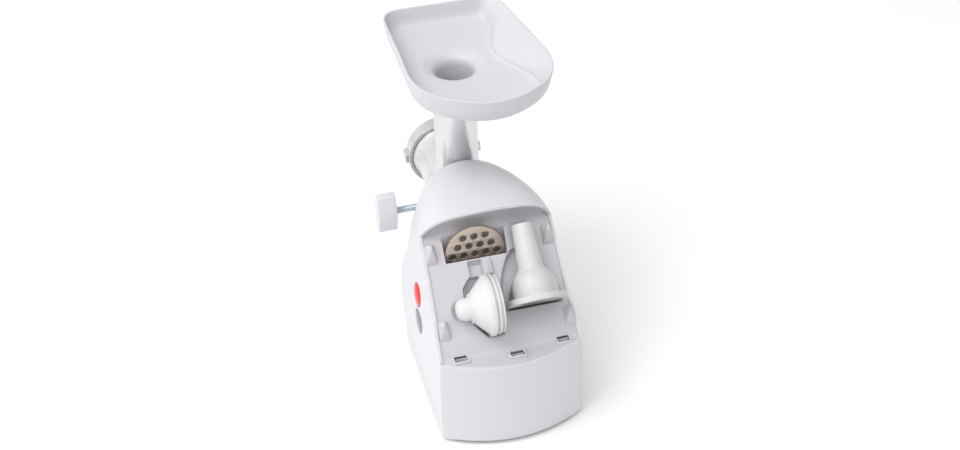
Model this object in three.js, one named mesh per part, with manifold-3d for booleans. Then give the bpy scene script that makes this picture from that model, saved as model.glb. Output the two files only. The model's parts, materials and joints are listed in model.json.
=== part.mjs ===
// Electric meat grinder: a white moulded motor housing with a storage bay at its rear, and a metal
// grinding head with a feed chute and a hopper tray at its front.
// Millimetres, +Z up. The grinding head points along -Y and the push buttons are on the +X side.

import * as THREE from 'three';
import { mergeVertices } from 'three/addons/utils/BufferGeometryUtils.js';
import { LoftGeometry } from 'three/addons/geometries/LoftGeometry.js';
import Module from 'manifold-3d';

const wasm = await Module();
wasm.setup();

// ---- Driving dimensions ---------------------------------------------------------------------

const GAP = 0.3;
const WALL = 3;

// Housing.
const FOOT_HEIGHT = 6;
const FOOT_RADIUS = 10;
const SHOULDER_Z = 197;
const DOME_TOP_Z = 230;
const FRONT_Y = -76;
const WIDEST_Y = 20;
const REAR_CORNER_Y = 121;
const REAR_BULGE = 22;
const REAR_TAPER = 3;
const NOSE_LEVEL_Z = 140;
const LEDGE_Z = 106;
const RIM_RISE = 2;
const ARCH_LEAN = 0.4;

// Housing levels: height, half width, reach forward of the widest place, and how square the front
// corners are.
const LEVELS = [
  [FOOT_HEIGHT, 78.6, 126, 4.5],
  [45, 79.8, 125, 5.5],
  [82, 80, 119, 5.5],
  [106, 79.2, 110, 5],
  [124, 78, 104, 3.9],
  [142, 75.6, 112, 3.2],
  [160, 74.2, 120, 2.6],
  [178, 73, 124, 2.1],
  [SHOULDER_Z, 71.8, 123, 1.8],
  [208, 67.5, 116, 1.6],
  [216, 61.5, 102, 1.6],
  [222.5, 53, 86, 1.7],
  [227, 41, 62, 1.9],
  [DOME_TOP_Z, 12, 34, 2],
];

// Feet as [x, y], and the cord gland in the -X side wall.
const FEET = [[66, 114], [-66, 114], [57, -73], [-57, -73]];
const GLAND_Y = -40;
const GLAND_Z = 28;
const GLAND_RADIUS = 7;

// Storage panel: it slopes down to the rear from its top edge.
const PANEL_TOP = new THREE.Vector3(0, 18.3, 196.6);
const PANEL_SLOPE = THREE.MathUtils.degToRad(43.7);
const PANEL_LENGTH = 130.8;
const PANEL_THICK = 2.5;
const SLOT = { x: [-18.7, 49.7], s: [1.5, 31], floorZ: 133 };
const NOSE_POCKET = { x: [3, 57], s: [50, 117], depth: 25 };
const LEDGE_SLOTS = [[47, 61, 110, 118.5], [-12, 3, 116, 126], [-63, -50, 110, 118.5]];
const SCOOP_DEPTH = 20;

// Drive: all axes run along Y in the plane x = 0.
const HEAD_Z = 167;
const PINION_TEETH = 9;
const IDLER_TEETH = 48;
const IDLER_PINION_TEETH = 9;
const OUTPUT_TEETH = 44;
const FIRST_MODULE = 1.7;
const SECOND_MODULE = 1.85;
const MESH_PLAY = 0.35;
const IDLER_Z = HEAD_Z - (OUTPUT_TEETH + IDLER_PINION_TEETH) * SECOND_MODULE / 2 - MESH_PLAY;
const MOTOR_Z = IDLER_Z - (IDLER_TEETH + PINION_TEETH) * FIRST_MODULE / 2 - MESH_PLAY;
const STATOR_RADIUS = 38;

// Grinding head.
const NECK_RADIUS = 27.6;
const BARREL_RADIUS = 33;
const BARREL_BORE = 26.5;
const BARREL_FRONT_Y = -177;
const THREAD_RADIUS = 36.6;
const CHUTE_Y = -100.5;
const CHUTE_RADIUS = 24;
const CHUTE_BORE = 21.4;
const CHUTE_TOP_Z = 315.6;
const NUT_RADIUS = 41;
const NUT_LUG_RADIUS = 45;
const NUT_BACK_Y = -165;
const NUT_FRONT_Y = -183;
const FRONT_PLATE_BACK_Y = -172.2;
const PLATE_RADIUS = 32.5;
const FRONT_PLATE_THICK = 7;
const STORED_PLATE_THICK = 5;
const PLATE_HOLE_RADIUS = 4;
const PLATE_HOLE_PITCH = 12;
const AUGER_RADIUS = 25.5;
const AUGER_PITCH = 27;

// Hopper tray.
const HOPPER_BOTTOM_Z = 316;
const HOPPER_RIM_Z = 348;
const HOPPER_WALL = 2.6;
const HOPPER_RIM = [[59, -196, 24], [-74, -197, 26], [-99, -22, 55], [-20, 27, 48], [60, -18, 45]];
const HOPPER_HOLE = new THREE.Vector2(0, CHUTE_Y);

// Stored accessories. The tube and the cone are placed on the panel, the spare plate in its slot.
const TUBE_X = -35;
const TUBE_HEIGHT = 15;
const CONE_S = 82;
const CONE_HEIGHT = 11;
const STORED_PLACE = new THREE.Vector3(15.5, 29.6, 174.5);
const STORED_LEAN = 0.13;

// Lock screw and its knob, along +X.
const LOCK_Y = -72;
const LOCK_Z = HEAD_Z + 2;
const LOCK_RADIUS = 4;
const KNOB_INNER_X = 78;
const KNOB_OUTER_X = 99;
const KNOB_HALF_LENGTH = 23;
const KNOB_HALF_WIDTH = 11.5;

// Push buttons: [y, z] on the +X side wall.
const START_BUTTON = [22, 124];
const REVERSE_BUTTON = [31, 95];
const BUTTON_RADIUS = 13.4;
const BUTTON_RISE = 3.4;

// ---- Surface looks --------------------------------------------------------------------------

const LOOKS = {
  gloss: { color: 0xf3f4f6, roughness: 0.28, metalness: 0 },
  inner: { color: 0xe4e6ea, roughness: 0.4, metalness: 0 },
  tray: { color: 0xeceef2, roughness: 0.35, metalness: 0 },
  tube: { color: 0xc9ccd0, roughness: 0.45, metalness: 0 },
  rubber: { color: 0xb9bbbf, roughness: 0.8, metalness: 0 },
  red: { color: 0xe0392d, roughness: 0.2, metalness: 0 },
  mauve: { color: 0x958c98, roughness: 0.25, metalness: 0 },
  aluminium: { color: 0xc4c6c8, roughness: 0.3, metalness: 1 },
  steel: { color: 0xa9a7a2, roughness: 0.3, metalness: 1 },
  zinc: { color: 0x9fb0bd, roughness: 0.35, metalness: 1 },
  gear: { color: 0xe9e4d4, roughness: 0.5, metalness: 0 },
  copper: { color: 0xb5683a, roughness: 0.4, metalness: 1 },
  black: { color: 0x232427, roughness: 0.6, metalness: 0 },
};

// ---- Solids ---------------------------------------------------------------------------------

function signedVolume(position, triangles) {
  const a = new THREE.Vector3();
  const b = new THREE.Vector3();
  const c = new THREE.Vector3();
  let volume = 0;
  for (let i = 0; i < triangles.length; i += 3) {
    a.fromBufferAttribute(position, triangles[i]);
    b.fromBufferAttribute(position, triangles[i + 1]);
    c.fromBufferAttribute(position, triangles[i + 2]);
    volume += a.dot(b.cross(c)) / 6;
  }
  return volume;
}

// A closed three.js geometry as a solid, its faces turned outwards.
function toSolid(geometry) {
  const plain = new THREE.BufferGeometry();
  plain.setAttribute('position', geometry.getAttribute('position'));
  plain.setIndex(geometry.getIndex());
  const merged = mergeVertices(plain, 1e-4);
  const triangles = [];
  for (let i = 0; i < merged.index.count; i += 3) {
    const [a, b, c] = [0, 1, 2].map((k) => merged.index.getX(i + k));
    if (a !== b && b !== c && c !== a) triangles.push(a, b, c);
  }
  const position = merged.getAttribute('position');
  if (signedVolume(position, triangles) < 0) triangles.reverse();
  return new wasm.Manifold(new wasm.Mesh({
    numProp: 3,
    vertProperties: new Float32Array(position.array),
    triVerts: new Uint32Array(triangles),
  }));
}

function toGeometry(solid) {
  const mesh = solid.getMesh();
  const geometry = new THREE.BufferGeometry();
  geometry.setAttribute('position', new THREE.BufferAttribute(mesh.vertProperties, 3));
  geometry.setIndex(new THREE.BufferAttribute(mesh.triVerts, 1));
  geometry.computeVertexNormals();
  return geometry;
}

const join = (...solids) => solids.reduce((sum, solid) => sum.add(solid));
const cut = (solid, ...tools) => tools.reduce((rest, tool) => rest.subtract(tool), solid);

// Each shape is built along one axis. For x the section is (y, z), for y it is (x, z), for z (x, y).
const FRAMES = {
  x: new THREE.Matrix4().makeBasis(
    new THREE.Vector3(0, 1, 0), new THREE.Vector3(0, 0, 1), new THREE.Vector3(1, 0, 0)),
  y: new THREE.Matrix4().makeBasis(
    new THREE.Vector3(1, 0, 0), new THREE.Vector3(0, 0, 1), new THREE.Vector3(0, -1, 0)),
  z: new THREE.Matrix4(),
};

function box(x, y, z) {
  const geometry = new THREE.BoxGeometry(x[1] - x[0], y[1] - y[0], z[1] - z[0]);
  geometry.translate((x[0] + x[1]) / 2, (y[0] + y[1]) / 2, (z[0] + z[1]) / 2);
  return toSolid(geometry);
}

// A shape swept from one place to another along an axis.
function prism(axis, shape, from, to) {
  const geometry = new THREE.ExtrudeGeometry(shape, {
    depth: to - from, bevelEnabled: false, curveSegments: 6,
  });
  geometry.translate(0, 0, axis === 'y' ? -to : from);
  geometry.applyMatrix4(FRAMES[axis]);
  return toSolid(geometry);
}

const polygon = (points) => new THREE.Shape(points.map(([u, v]) => new THREE.Vector2(u, v)));

// A closed outline whose corners, given as [u, v, radius], are rounded.
function roundedOutline(corners) {
  const shape = new THREE.Shape();
  corners.forEach(([u, v, radius], i) => {
    const corner = new THREE.Vector2(u, v);
    const before = new THREE.Vector2(...corners.at(i - 1).slice(0, 2));
    const after = new THREE.Vector2(...corners[(i + 1) % corners.length].slice(0, 2));
    const start = corner.clone().add(before.sub(corner).setLength(radius));
    const end = corner.clone().add(after.sub(corner).setLength(radius));
    if (i === 0) shape.moveTo(start.x, start.y);
    else shape.lineTo(start.x, start.y);
    shape.quadraticCurveTo(corner.x, corner.y, end.x, end.y);
  });
  shape.closePath();
  return shape;
}

// A body of revolution. The profile is [radius, place along the axis] and is closed here.
function revolve(axis, at, profile, sides = 32) {
  const points = profile.map(([radius, along]) => new THREE.Vector2(radius, along));
  points.push(points[0].clone());
  const geometry = new THREE.LatheGeometry(points, sides);
  if (axis === 'x') {
    geometry.rotateZ(-Math.PI / 2);
    geometry.translate(0, at[0], at[1]);
  } else if (axis === 'y') {
    geometry.translate(at[0], 0, at[1]);
  } else {
    geometry.rotateX(Math.PI / 2);
    geometry.translate(at[0], at[1], 0);
  }
  return toSolid(geometry);
}

const rod = (axis, at, radius, from, to, sides = 24) =>
  revolve(axis, at, [[0, from], [radius, from], [radius, to], [0, to]], sides);

const ring = (axis, at, inner, outer, from, to, sides = 24) =>
  revolve(axis, at, [[inner, from], [outer, from], [outer, to], [inner, to]], sides);

// A many-sided circle as a hole in a shape.
function circleHole(u, v, radius, sides) {
  const points = [];
  for (let i = 0; i < sides; i += 1) {
    const turn = -2 * Math.PI * i / sides;
    points.push(new THREE.Vector2(u + radius * Math.cos(turn), v + radius * Math.sin(turn)));
  }
  return new THREE.Path(points);
}

// A straight-flanked spur gear as an outline in (x, z), one tooth centred at the given angle.
function gearShape(teeth, module, angle) {
  const pitch = 2 * Math.PI / teeth;
  const pitchRadius = teeth * module / 2;
  const tip = pitchRadius + 0.85 * module;
  const base = pitchRadius - 1.15 * module;
  const shape = new THREE.Shape();
  for (let tooth = 0; tooth < teeth; tooth += 1) {
    const middle = angle + tooth * pitch;
    const flank = [[base, -0.29], [tip, -0.13], [tip, 0.13], [base, 0.29]];
    flank.forEach(([radius, share], i) => {
      const at = middle + share * pitch;
      const [u, v] = [radius * Math.cos(at), radius * Math.sin(at)];
      if (tooth === 0 && i === 0) shape.moveTo(u, v);
      else shape.lineTo(u, v);
    });
  }
  shape.closePath();
  return shape;
}

function gear(teeth, module, angle, z, bore, from, to) {
  const shape = gearShape(teeth, module, angle);
  shape.holes.push(circleHole(0, 0, bore, 16));
  const geometry = new THREE.ExtrudeGeometry(shape, { depth: to - from, bevelEnabled: false });
  geometry.translate(0, z, -to);
  geometry.applyMatrix4(FRAMES.y);
  return toSolid(geometry);
}

const root = new THREE.Group();

function addPart(name, solid, look, parent = root) {
  const mesh = new THREE.Mesh(toGeometry(solid), new THREE.MeshStandardMaterial(LOOKS[look]));
  mesh.name = name;
  parent.add(mesh);
  return mesh;
}

// ---- Housing --------------------------------------------------------------------------------

const FRONT_STEPS = 18;
const REAR_STEPS = 6;
const REAR_DRAFT = 0.05;

// The outline of the housing at one level, drawn in by an inset. Above the chin it ends at a flat nose.
function housingLevel([z, halfWidth, reach, square], inset) {
  const width = halfWidth - inset;
  const nose = z > NOSE_LEVEL_Z ? FRONT_Y + inset : -Infinity;
  const points = [];
  for (let i = 0; i <= FRONT_STEPS; i += 1) {
    const turn = Math.PI * (1 + i / FRONT_STEPS);
    const across = Math.sign(Math.cos(turn)) * Math.abs(Math.cos(turn)) ** (2 / square);
    const along = -(Math.abs(Math.sin(turn)) ** (2 / square));
    const y = Math.max(WIDEST_Y + (reach - inset) * along, nose);
    points.push(new THREE.Vector3(width * across, y, z));
  }
  const draft = (z - FOOT_HEIGHT) * REAR_DRAFT;
  const rearWidth = width - REAR_TAPER * Math.min(1, (z - FOOT_HEIGHT) / (LEDGE_Z - FOOT_HEIGHT));
  for (let i = 0; i <= REAR_STEPS; i += 1) {
    const across = 1 - 2 * i / REAR_STEPS;
    const bulge = REAR_BULGE * (1 - across * across);
    points.push(new THREE.Vector3(rearWidth * across, REAR_CORNER_Y - inset - draft + bulge, z));
  }
  return points;
}

function housingForm(inset) {
  const levels = LEVELS.map(([z, ...rest]) => [z > SHOULDER_Z ? z - inset : z, ...rest]);
  levels[0] = [inset > 0 ? 0 : FOOT_HEIGHT, ...levels[0].slice(1)];
  const sections = levels.map((level) => housingLevel(level, inset));
  return toSolid(new LoftGeometry(sections, { capStart: true, capEnd: true }));
}

const slopeY = Math.cos(PANEL_SLOPE);
const slopeZ = Math.sin(PANEL_SLOPE);

// A place on the storage panel in (y, z): s down the slope and h above its surface.
const onPanel = (s, h) => [PANEL_TOP.y + s * slopeY + h * slopeZ, PANEL_TOP.z - s * slopeZ + h * slopeY];

// Places well outside the housing, where cutting shapes end.
const ARCH_TOP = 260;
const FAR_REAR = 180;
const FAR_SIDE = 100;

// Everything above the storage panel and behind the arch of the dome.
function baySpace() {
  const archTop = [PANEL_TOP.y + ARCH_LEAN * (ARCH_TOP - PANEL_TOP.z), ARCH_TOP];
  const [rimY] = onPanel(PANEL_LENGTH, RIM_RISE);
  const outline = [
    onPanel(0, RIM_RISE), [rimY + 2, LEDGE_Z], [FAR_REAR, LEDGE_Z], [FAR_REAR, ARCH_TOP], archTop,
  ];
  return prism('x', polygon(outline), -FAR_SIDE, FAR_SIDE);
}

function housingShell() {
  const [startY, startZ] = START_BUTTON;
  const [reverseY, reverseZ] = REVERSE_BUTTON;
  const buttonHole = BUTTON_RADIUS + 0.6;
  const boss = cut(rod('x', [LOCK_Y, LOCK_Z], 8.5, 36, 54, 20), rod('y', [0, HEAD_Z], 37.2, -90, -60, 32));
  return cut(
    join(cut(housingForm(0), housingForm(WALL), baySpace()), boss),
    rod('y', [0, HEAD_Z], 33.4, -90, -60, 32),
    rod('y', [0, HEAD_Z], 37, -95, FRONT_Y - 0.1, 32),
    rod('x', [LOCK_Y, LOCK_Z], 5.6, 30, 37.5, 16),
    rod('x', [LOCK_Y, LOCK_Z], LOCK_RADIUS + 0.6, 30, 90, 16),
    rod('x', [startY, startZ], buttonHole, 60, 90, 32),
    rod('x', [reverseY, reverseZ], buttonHole, 60, 90, 32),
    rod('x', [GLAND_Y, GLAND_Z], GLAND_RADIUS + GAP, -90, -60, 20),
  );
}

// Carries (x, s, h) on the storage panel to the object's axes.
function panelMatrix() {
  const along = new THREE.Vector3(0, slopeY, -slopeZ);
  const out = new THREE.Vector3(0, slopeZ, slopeY);
  return new THREE.Matrix4().makeBasis(new THREE.Vector3(1, 0, 0), along, out).setPosition(PANEL_TOP);
}

// A rounded outline in (x, s), between two heights over the panel.
function panelPrism(corners, bottom, top) {
  const geometry = new THREE.ExtrudeGeometry(roundedOutline(corners), {
    depth: top - bottom, bevelEnabled: false, curveSegments: 4,
  });
  geometry.translate(0, 0, bottom);
  geometry.applyMatrix4(panelMatrix());
  return toSolid(geometry);
}

// An outline in (s, h) over the panel, from one x to another.
function panelProfile(outline, from, to) {
  const geometry = new THREE.ExtrudeGeometry(polygon(outline), { depth: to - from, bevelEnabled: false });
  geometry.translate(0, 0, from);
  geometry.applyMatrix4(FRAMES.x);
  geometry.applyMatrix4(panelMatrix());
  return toSolid(geometry);
}

// The scoop for the filling tube: narrow at the top, wide at the flange.
const scoopCorners = (grow) => [
  [-24 + grow, 2 - grow, 8], [-22 + grow, 46, 14], [-2 + grow, 68, 10], [-1 + grow, 97 + grow, 5],
  [-70.5 - grow, 97 + grow, 5], [-70.5 - grow, 70, 10], [-50 - grow, 40, 14], [-49 - grow, 2 - grow, 8],
];

function scoop(grow) {
  const deepest = -SCOOP_DEPTH - grow;
  const floor = [[-6, 3], [-6, -3 - grow], [60, -9 - grow], [68, deepest], [104, deepest], [104, 3]];
  const top = grow > 0 ? -0.5 : 3;
  return panelPrism(scoopCorners(grow), -SCOOP_DEPTH - 10, top).intersect(panelProfile(floor, -90, 30));
}

// The slot for the spare plate, open at its top.
function slotSpace(grow) {
  const [frontY, frontZ] = onPanel(SLOT.s[0], 3);
  const [rearY, rearZ] = onPanel(SLOT.s[1], 3);
  const top = grow > 0 ? -5 : 0;
  const outline = [
    [frontY - grow, frontZ + top], [frontY - grow, SLOT.floorZ - grow],
    [frontY + 17 + grow, SLOT.floorZ - grow], [rearY + grow, rearZ - 14], [rearY + grow, rearZ + top],
  ];
  return prism('x', polygon(outline), SLOT.x[0] - grow, SLOT.x[1] + grow);
}

// A fin beside the bay that the storage cover rests on.
function wedgeFin(x, s, tall) {
  const outline = [[s - 10, -1], [s + 10, -1], [s + 10, 2], [s - 4, tall], [s - 10, tall - 3]];
  return panelProfile(outline, x - 3, x + 3);
}

// The pocket for the forming cone.
function nosePocket(grow, top) {
  const { x, s, depth } = NOSE_POCKET;
  const corners = [
    [x[0] - grow, s[0] - grow, 4], [x[1] + grow, s[0] - grow, 12],
    [x[1] + grow, s[1] + grow, 12], [x[0] - grow, s[1] + grow, 4],
  ];
  return panelPrism(corners, -depth - grow, top);
}

// The arch wall, the sloping panel and the rear ledge as one sheet.
function traySheet() {
  const [ledgeY] = onPanel(PANEL_LENGTH, 0);
  const ledgeTop = LEDGE_Z - 0.6;
  const ledgeUnder = ledgeTop - PANEL_THICK;
  const [footY, footZ] = onPanel(-9, 0);
  const upper = [[footY + 15.5, footZ + 30], [footY, footZ], [ledgeY + 0.6, ledgeTop], [FAR_REAR, ledgeTop]];
  const lower = [
    [FAR_REAR, ledgeUnder], [ledgeY - 1, ledgeUnder], onPanel(-9.5, -PANEL_THICK),
    [footY - 2.6, footZ + 1], [footY + 12.8, footZ + 30],
  ];
  return prism('x', polygon([...upper, ...lower]), -FAR_SIDE, FAR_SIDE);
}

function storageTray() {
  const fins = [wedgeFin(65, 21, 13), wedgeFin(-66, 21, 13), wedgeFin(66, 101, 12), wedgeFin(-73.5, 108, 10)];
  const rib = panelPrism([[2, 33, 1], [6, 33, 1], [6, 49, 1], [2, 49, 1]], -1, 5);
  const channel = panelPrism([[12, 30, 1], [27, 30, 1], [27, 51, 1], [12, 51, 1]], -7, 3);
  const channelBed = panelPrism([[10, 28, 1], [29, 28, 1], [29, 51, 1], [10, 51, 1]], -9, -1);
  const solid = join(traySheet(), scoop(2), slotSpace(2), nosePocket(2, -0.5), ...fins, rib, channelBed);
  const ledgeHoles = LEDGE_SLOTS.map(
    ([x0, x1, y0, y1]) => box([x0, x1], [y0, y1], [LEDGE_Z - 8, LEDGE_Z + 2]));
  const body = cut(solid, channel, scoop(0), slotSpace(0), nosePocket(0, 3), ...ledgeHoles);
  return body.intersect(housingForm(WALL + GAP));
}

function basePlate() {
  const slab = box([-FAR_SIDE, FAR_SIDE], [-120, 160], [FOOT_HEIGHT + GAP, FOOT_HEIGHT + 3]);
  const plate = slab.intersect(housingForm(WALL + GAP));
  const pegs = FEET.map(([x, y]) => rod('z', [x, y], 3.4, FOOT_HEIGHT - 1, FOOT_HEIGHT + 4, 12));
  const vents = [-24, -12, 0, 12, 24].map((x) => box([x - 2, x + 2], [60, 96], [0, 20]));
  return cut(plate, ...pegs, ...vents);
}

function foot([x, y]) {
  return revolve('z', [x, y], [
    [0, 0], [FOOT_RADIUS - 1.5, 0], [FOOT_RADIUS, 1.5], [FOOT_RADIUS, FOOT_HEIGHT - GAP],
    [3, FOOT_HEIGHT - GAP], [3, FOOT_HEIGHT + 6], [0, FOOT_HEIGHT + 6],
  ], 12);
}

function socketCollar() {
  const collar = revolve('y', [0, HEAD_Z], [
    [NECK_RADIUS + 0.5, -79.4], [36.5, -79.4], [36.5, FRONT_Y - 1.6], [32.8, FRONT_Y - 1.6], [32.8, -54],
    [NECK_RADIUS + 0.5, -54],
  ], 32);
  return cut(
    collar,
    rod('x', [LOCK_Y, LOCK_Z], LOCK_RADIUS + 0.4, 20, 60, 16),
    rod('z', [0, CHUTE_Y], CHUTE_RADIUS + 0.6, HEAD_Z, HEAD_Z + 60, 32),
  );
}

function button([y, z]) {
  const face = 79 - (z - FOOT_HEIGHT) * 0.0366;
  return revolve('x', [y, z], [
    [0, face - 9], [3, face - 9], [3, face - 4], [BUTTON_RADIUS, face - 4], [BUTTON_RADIUS, face + 1],
    [BUTTON_RADIUS - 2, face + BUTTON_RISE - 0.8], [BUTTON_RADIUS - 6, face + BUTTON_RISE],
    [0, face + BUTTON_RISE + 0.2],
  ], 20);
}

function lockKnob() {
  const [wide, tall] = [KNOB_HALF_WIDTH, KNOB_HALF_LENGTH];
  const corners = [
    [-wide, -4], [-5, -tall], [5, -tall], [wide, -4], [wide, 4], [5, tall], [-5, tall], [-wide, 4],
  ];
  const shape = roundedOutline(corners.map(([y, z]) => [LOCK_Y + y, LOCK_Z + z, 3]));
  const bore = rod('x', [LOCK_Y, LOCK_Z], LOCK_RADIUS + GAP, KNOB_INNER_X - 1, KNOB_INNER_X + 13, 16);
  return cut(prism('x', shape, KNOB_INNER_X, KNOB_OUTER_X), bore);
}

addPart('housing_shell', housingShell(), 'gloss');
addPart('storage_tray', storageTray(), 'gloss');
addPart('base_plate', basePlate(), 'inner');
FEET.forEach((place, i) => addPart(`foot_${i + 1}`, foot(place), 'rubber'));
addPart('socket_collar', socketCollar(), 'aluminium');
addPart('start_button', button(START_BUTTON), 'red');
addPart('reverse_button', button(REVERSE_BUTTON), 'mauve');
addPart('switch_block', box([48, 61.4], [12, 42], [80, 128]), 'black');
addPart('cord_gland', ring('x', [GLAND_Y, GLAND_Z], 3.5, GLAND_RADIUS, -84, -70, 20), 'black');

// ---- Head lock ------------------------------------------------------------------------------

addPart('lock_shoe', rod('x', [LOCK_Y, LOCK_Z], LOCK_RADIUS, NECK_RADIUS + 0.4, 33, 16), 'steel');
addPart('lock_screw', rod('x', [LOCK_Y, LOCK_Z], LOCK_RADIUS, 33.3, KNOB_INNER_X + 12, 16), 'zinc');
addPart('lock_knob', lockKnob(), 'gloss');
addPart('lock_nut', ring('x', [LOCK_Y, LOCK_Z], LOCK_RADIUS + 0.4, 5.2, 33.5, 37, 16), 'zinc');

// ---- Grinding head --------------------------------------------------------------------------

function grinderHead() {
  const barrel = revolve('y', [0, HEAD_Z], [
    [0, -56], [NECK_RADIUS, -56], [NECK_RADIUS, -80], [BARREL_RADIUS, -81.5], [BARREL_RADIUS, -158],
    [THREAD_RADIUS - 1.6, -160], [THREAD_RADIUS, -165], [THREAD_RADIUS, BARREL_FRONT_Y], [0, BARREL_FRONT_Y],
  ], 32);
  const chute = rod('z', [0, CHUTE_Y], CHUTE_RADIUS, HEAD_Z, CHUTE_TOP_Z, 32);
  const bore = revolve('y', [0, HEAD_Z], [
    [0, -50], [14, -50], [14, -82], [BARREL_BORE, -82], [BARREL_BORE, -171.5], [PLATE_RADIUS + 0.4, -171.5],
    [PLATE_RADIUS + 0.4, BARREL_FRONT_Y - 1], [0, BARREL_FRONT_Y - 1],
  ], 32);
  return cut(join(barrel, chute), bore, rod('z', [0, CHUTE_Y], CHUTE_BORE, HEAD_Z, CHUTE_TOP_Z + 1, 32));
}

// The hexagon by which the output shaft drives the worm.
const hexagon = (radius) => polygon([0, 1, 2, 3, 4, 5].map((i) => [
  radius * Math.cos(i * Math.PI / 3), HEAD_Z + radius * Math.sin(i * Math.PI / 3),
]));

// One level of the worm: a round core with a helical lobe that turns with the distance.
function wormLevel(y) {
  const turn = 2 * Math.PI * (y + 84) / AUGER_PITCH;
  const lobe = 0.58;
  const points = [];
  const lobeAngles = [-1, -0.34, 0.34, 1].map((share) => [share * lobe, AUGER_RADIUS]);
  const core = 10;
  const coreSteps = 7;
  const coreAngles = [];
  for (let i = 0; i <= coreSteps; i += 1) {
    coreAngles.push([lobe + 0.35 + (2 * Math.PI - 2 * lobe - 0.7) * i / coreSteps, core]);
  }
  for (const [angle, radius] of [...lobeAngles, ...coreAngles]) {
    const at = angle + turn;
    points.push(new THREE.Vector3(radius * Math.cos(at), y, HEAD_Z + radius * Math.sin(at)));
  }
  return points;
}

function auger() {
  const sections = [];
  const steps = 27;
  const [from, to] = [-84, -164.5];
  for (let i = 0; i <= steps; i += 1) sections.push(wormLevel(from + (to - from) * i / steps));
  const worm = toSolid(new LoftGeometry(sections, { capStart: true, capEnd: true }));
  const shaft = rod('y', [0, HEAD_Z], 9, -90, -57, 20);
  const square = box([-5, 5], [-171, -160], [HEAD_Z - 5, HEAD_Z + 5]);
  const pin = rod('y', [0, HEAD_Z], 3.2, FRONT_PLATE_BACK_Y + GAP, -165, 12);
  return join(worm, shaft, prism('y', hexagon(7.4), -58, -45), square, pin);
}

function knife() {
  const blade = [];
  for (let arm = 0; arm < 4; arm += 1) {
    const turn = arm * Math.PI / 2;
    for (const [radius, angle] of [[10, -0.6], [26, -0.2], [25, 0.22], [10, 0.55]]) {
      blade.push([radius * Math.cos(turn + angle), HEAD_Z + radius * Math.sin(turn + angle)]);
    }
  }
  const hole = box([-5.4, 5.4], [-180, -150], [HEAD_Z - 5.4, HEAD_Z + 5.4]);
  return cut(prism('y', polygon(blade), -171.2, -165.6), hole);
}

// A grinding plate lying in (x, z) round its own centre, with holes on a hexagonal pitch.
function plateSolid(from, to) {
  const rimSides = 32;
  const rim = [];
  for (let i = 0; i < rimSides; i += 1) {
    const turn = 2 * Math.PI * i / rimSides;
    rim.push([PLATE_RADIUS * Math.cos(turn), PLATE_RADIUS * Math.sin(turn)]);
  }
  const shape = polygon(rim);
  const rows = 2;
  for (let row = -rows; row <= rows; row += 1) {
    for (let column = -3; column <= 3; column += 1) {
      const u = (column + row / 2) * PLATE_HOLE_PITCH;
      const v = row * PLATE_HOLE_PITCH * Math.sqrt(3) / 2;
      const fits = Math.hypot(u, v) + PLATE_HOLE_RADIUS < PLATE_RADIUS - 2.5;
      if (fits) shape.holes.push(circleHole(u, v, PLATE_HOLE_RADIUS, 8));
    }
  }
  const plate = new THREE.ExtrudeGeometry(shape, { depth: to - from, bevelEnabled: false });
  plate.translate(0, 0, -to);
  plate.applyMatrix4(FRAMES.y);
  return toSolid(plate);
}

function ringNut() {
  const body = revolve('y', [0, HEAD_Z], [
    [THREAD_RADIUS + 0.4, NUT_BACK_Y], [NUT_RADIUS, NUT_BACK_Y], [NUT_RADIUS, NUT_FRONT_Y + 2],
    [NUT_RADIUS - 2, NUT_FRONT_Y], [29, NUT_FRONT_Y], [29, NUT_FRONT_Y + 3],
    [THREAD_RADIUS + 0.4, NUT_FRONT_Y + 3],
  ], 32);
  const lugs = [];
  const lugCount = 4;
  for (let i = 0; i < lugCount; i += 1) {
    const turn = 2 * Math.PI * i / lugCount;
    const [c, s] = [Math.cos(turn), Math.sin(turn)];
    const corner = (r, t) => [r * c - t * s, HEAD_Z + r * s + t * c];
    lugs.push(prism('y', polygon([
      corner(NUT_RADIUS - 2, -5.5), corner(NUT_LUG_RADIUS - 1, -4), corner(NUT_LUG_RADIUS, 0),
      corner(NUT_LUG_RADIUS - 1, 4), corner(NUT_RADIUS - 2, 5.5),
    ]), NUT_FRONT_Y + 1.5, NUT_BACK_Y - 1));
  }
  return join(body, ...lugs);
}

addPart('grinder_head', grinderHead(), 'aluminium');
addPart('auger_bush', ring('y', [0, HEAD_Z], 9.4, 13.6, -80, -59, 20), 'gear');
addPart('auger', auger(), 'aluminium');
addPart('knife', knife(), 'steel');
const frontPlate = addPart('grinding_plate', plateSolid(-FRONT_PLATE_THICK, 0), 'steel');
frontPlate.position.set(0, FRONT_PLATE_BACK_Y, HEAD_Z);
addPart('ring_nut', ringNut(), 'aluminium');

// ---- Hopper tray ----------------------------------------------------------------------------

const HOPPER_POINTS = 36;
const hopperRim = roundedOutline(HOPPER_RIM).getSpacedPoints(HOPPER_POINTS).slice(0, HOPPER_POINTS);

// Each level follows the rim, scaled towards the feed hole and drawn in by an inset. With a scale
// of 0 it is a circle round the hole.
function hopperLevel(scale, inset, z) {
  return hopperRim.map((point) => {
    const away = point.clone().sub(HOPPER_HOLE);
    const reach = away.length() * scale - inset;
    away.setLength(reach).add(HOPPER_HOLE);
    return new THREE.Vector3(away.x, away.y, z);
  });
}

const hopperRing = (radius, z) => hopperLevel(0, -radius, z);

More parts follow.
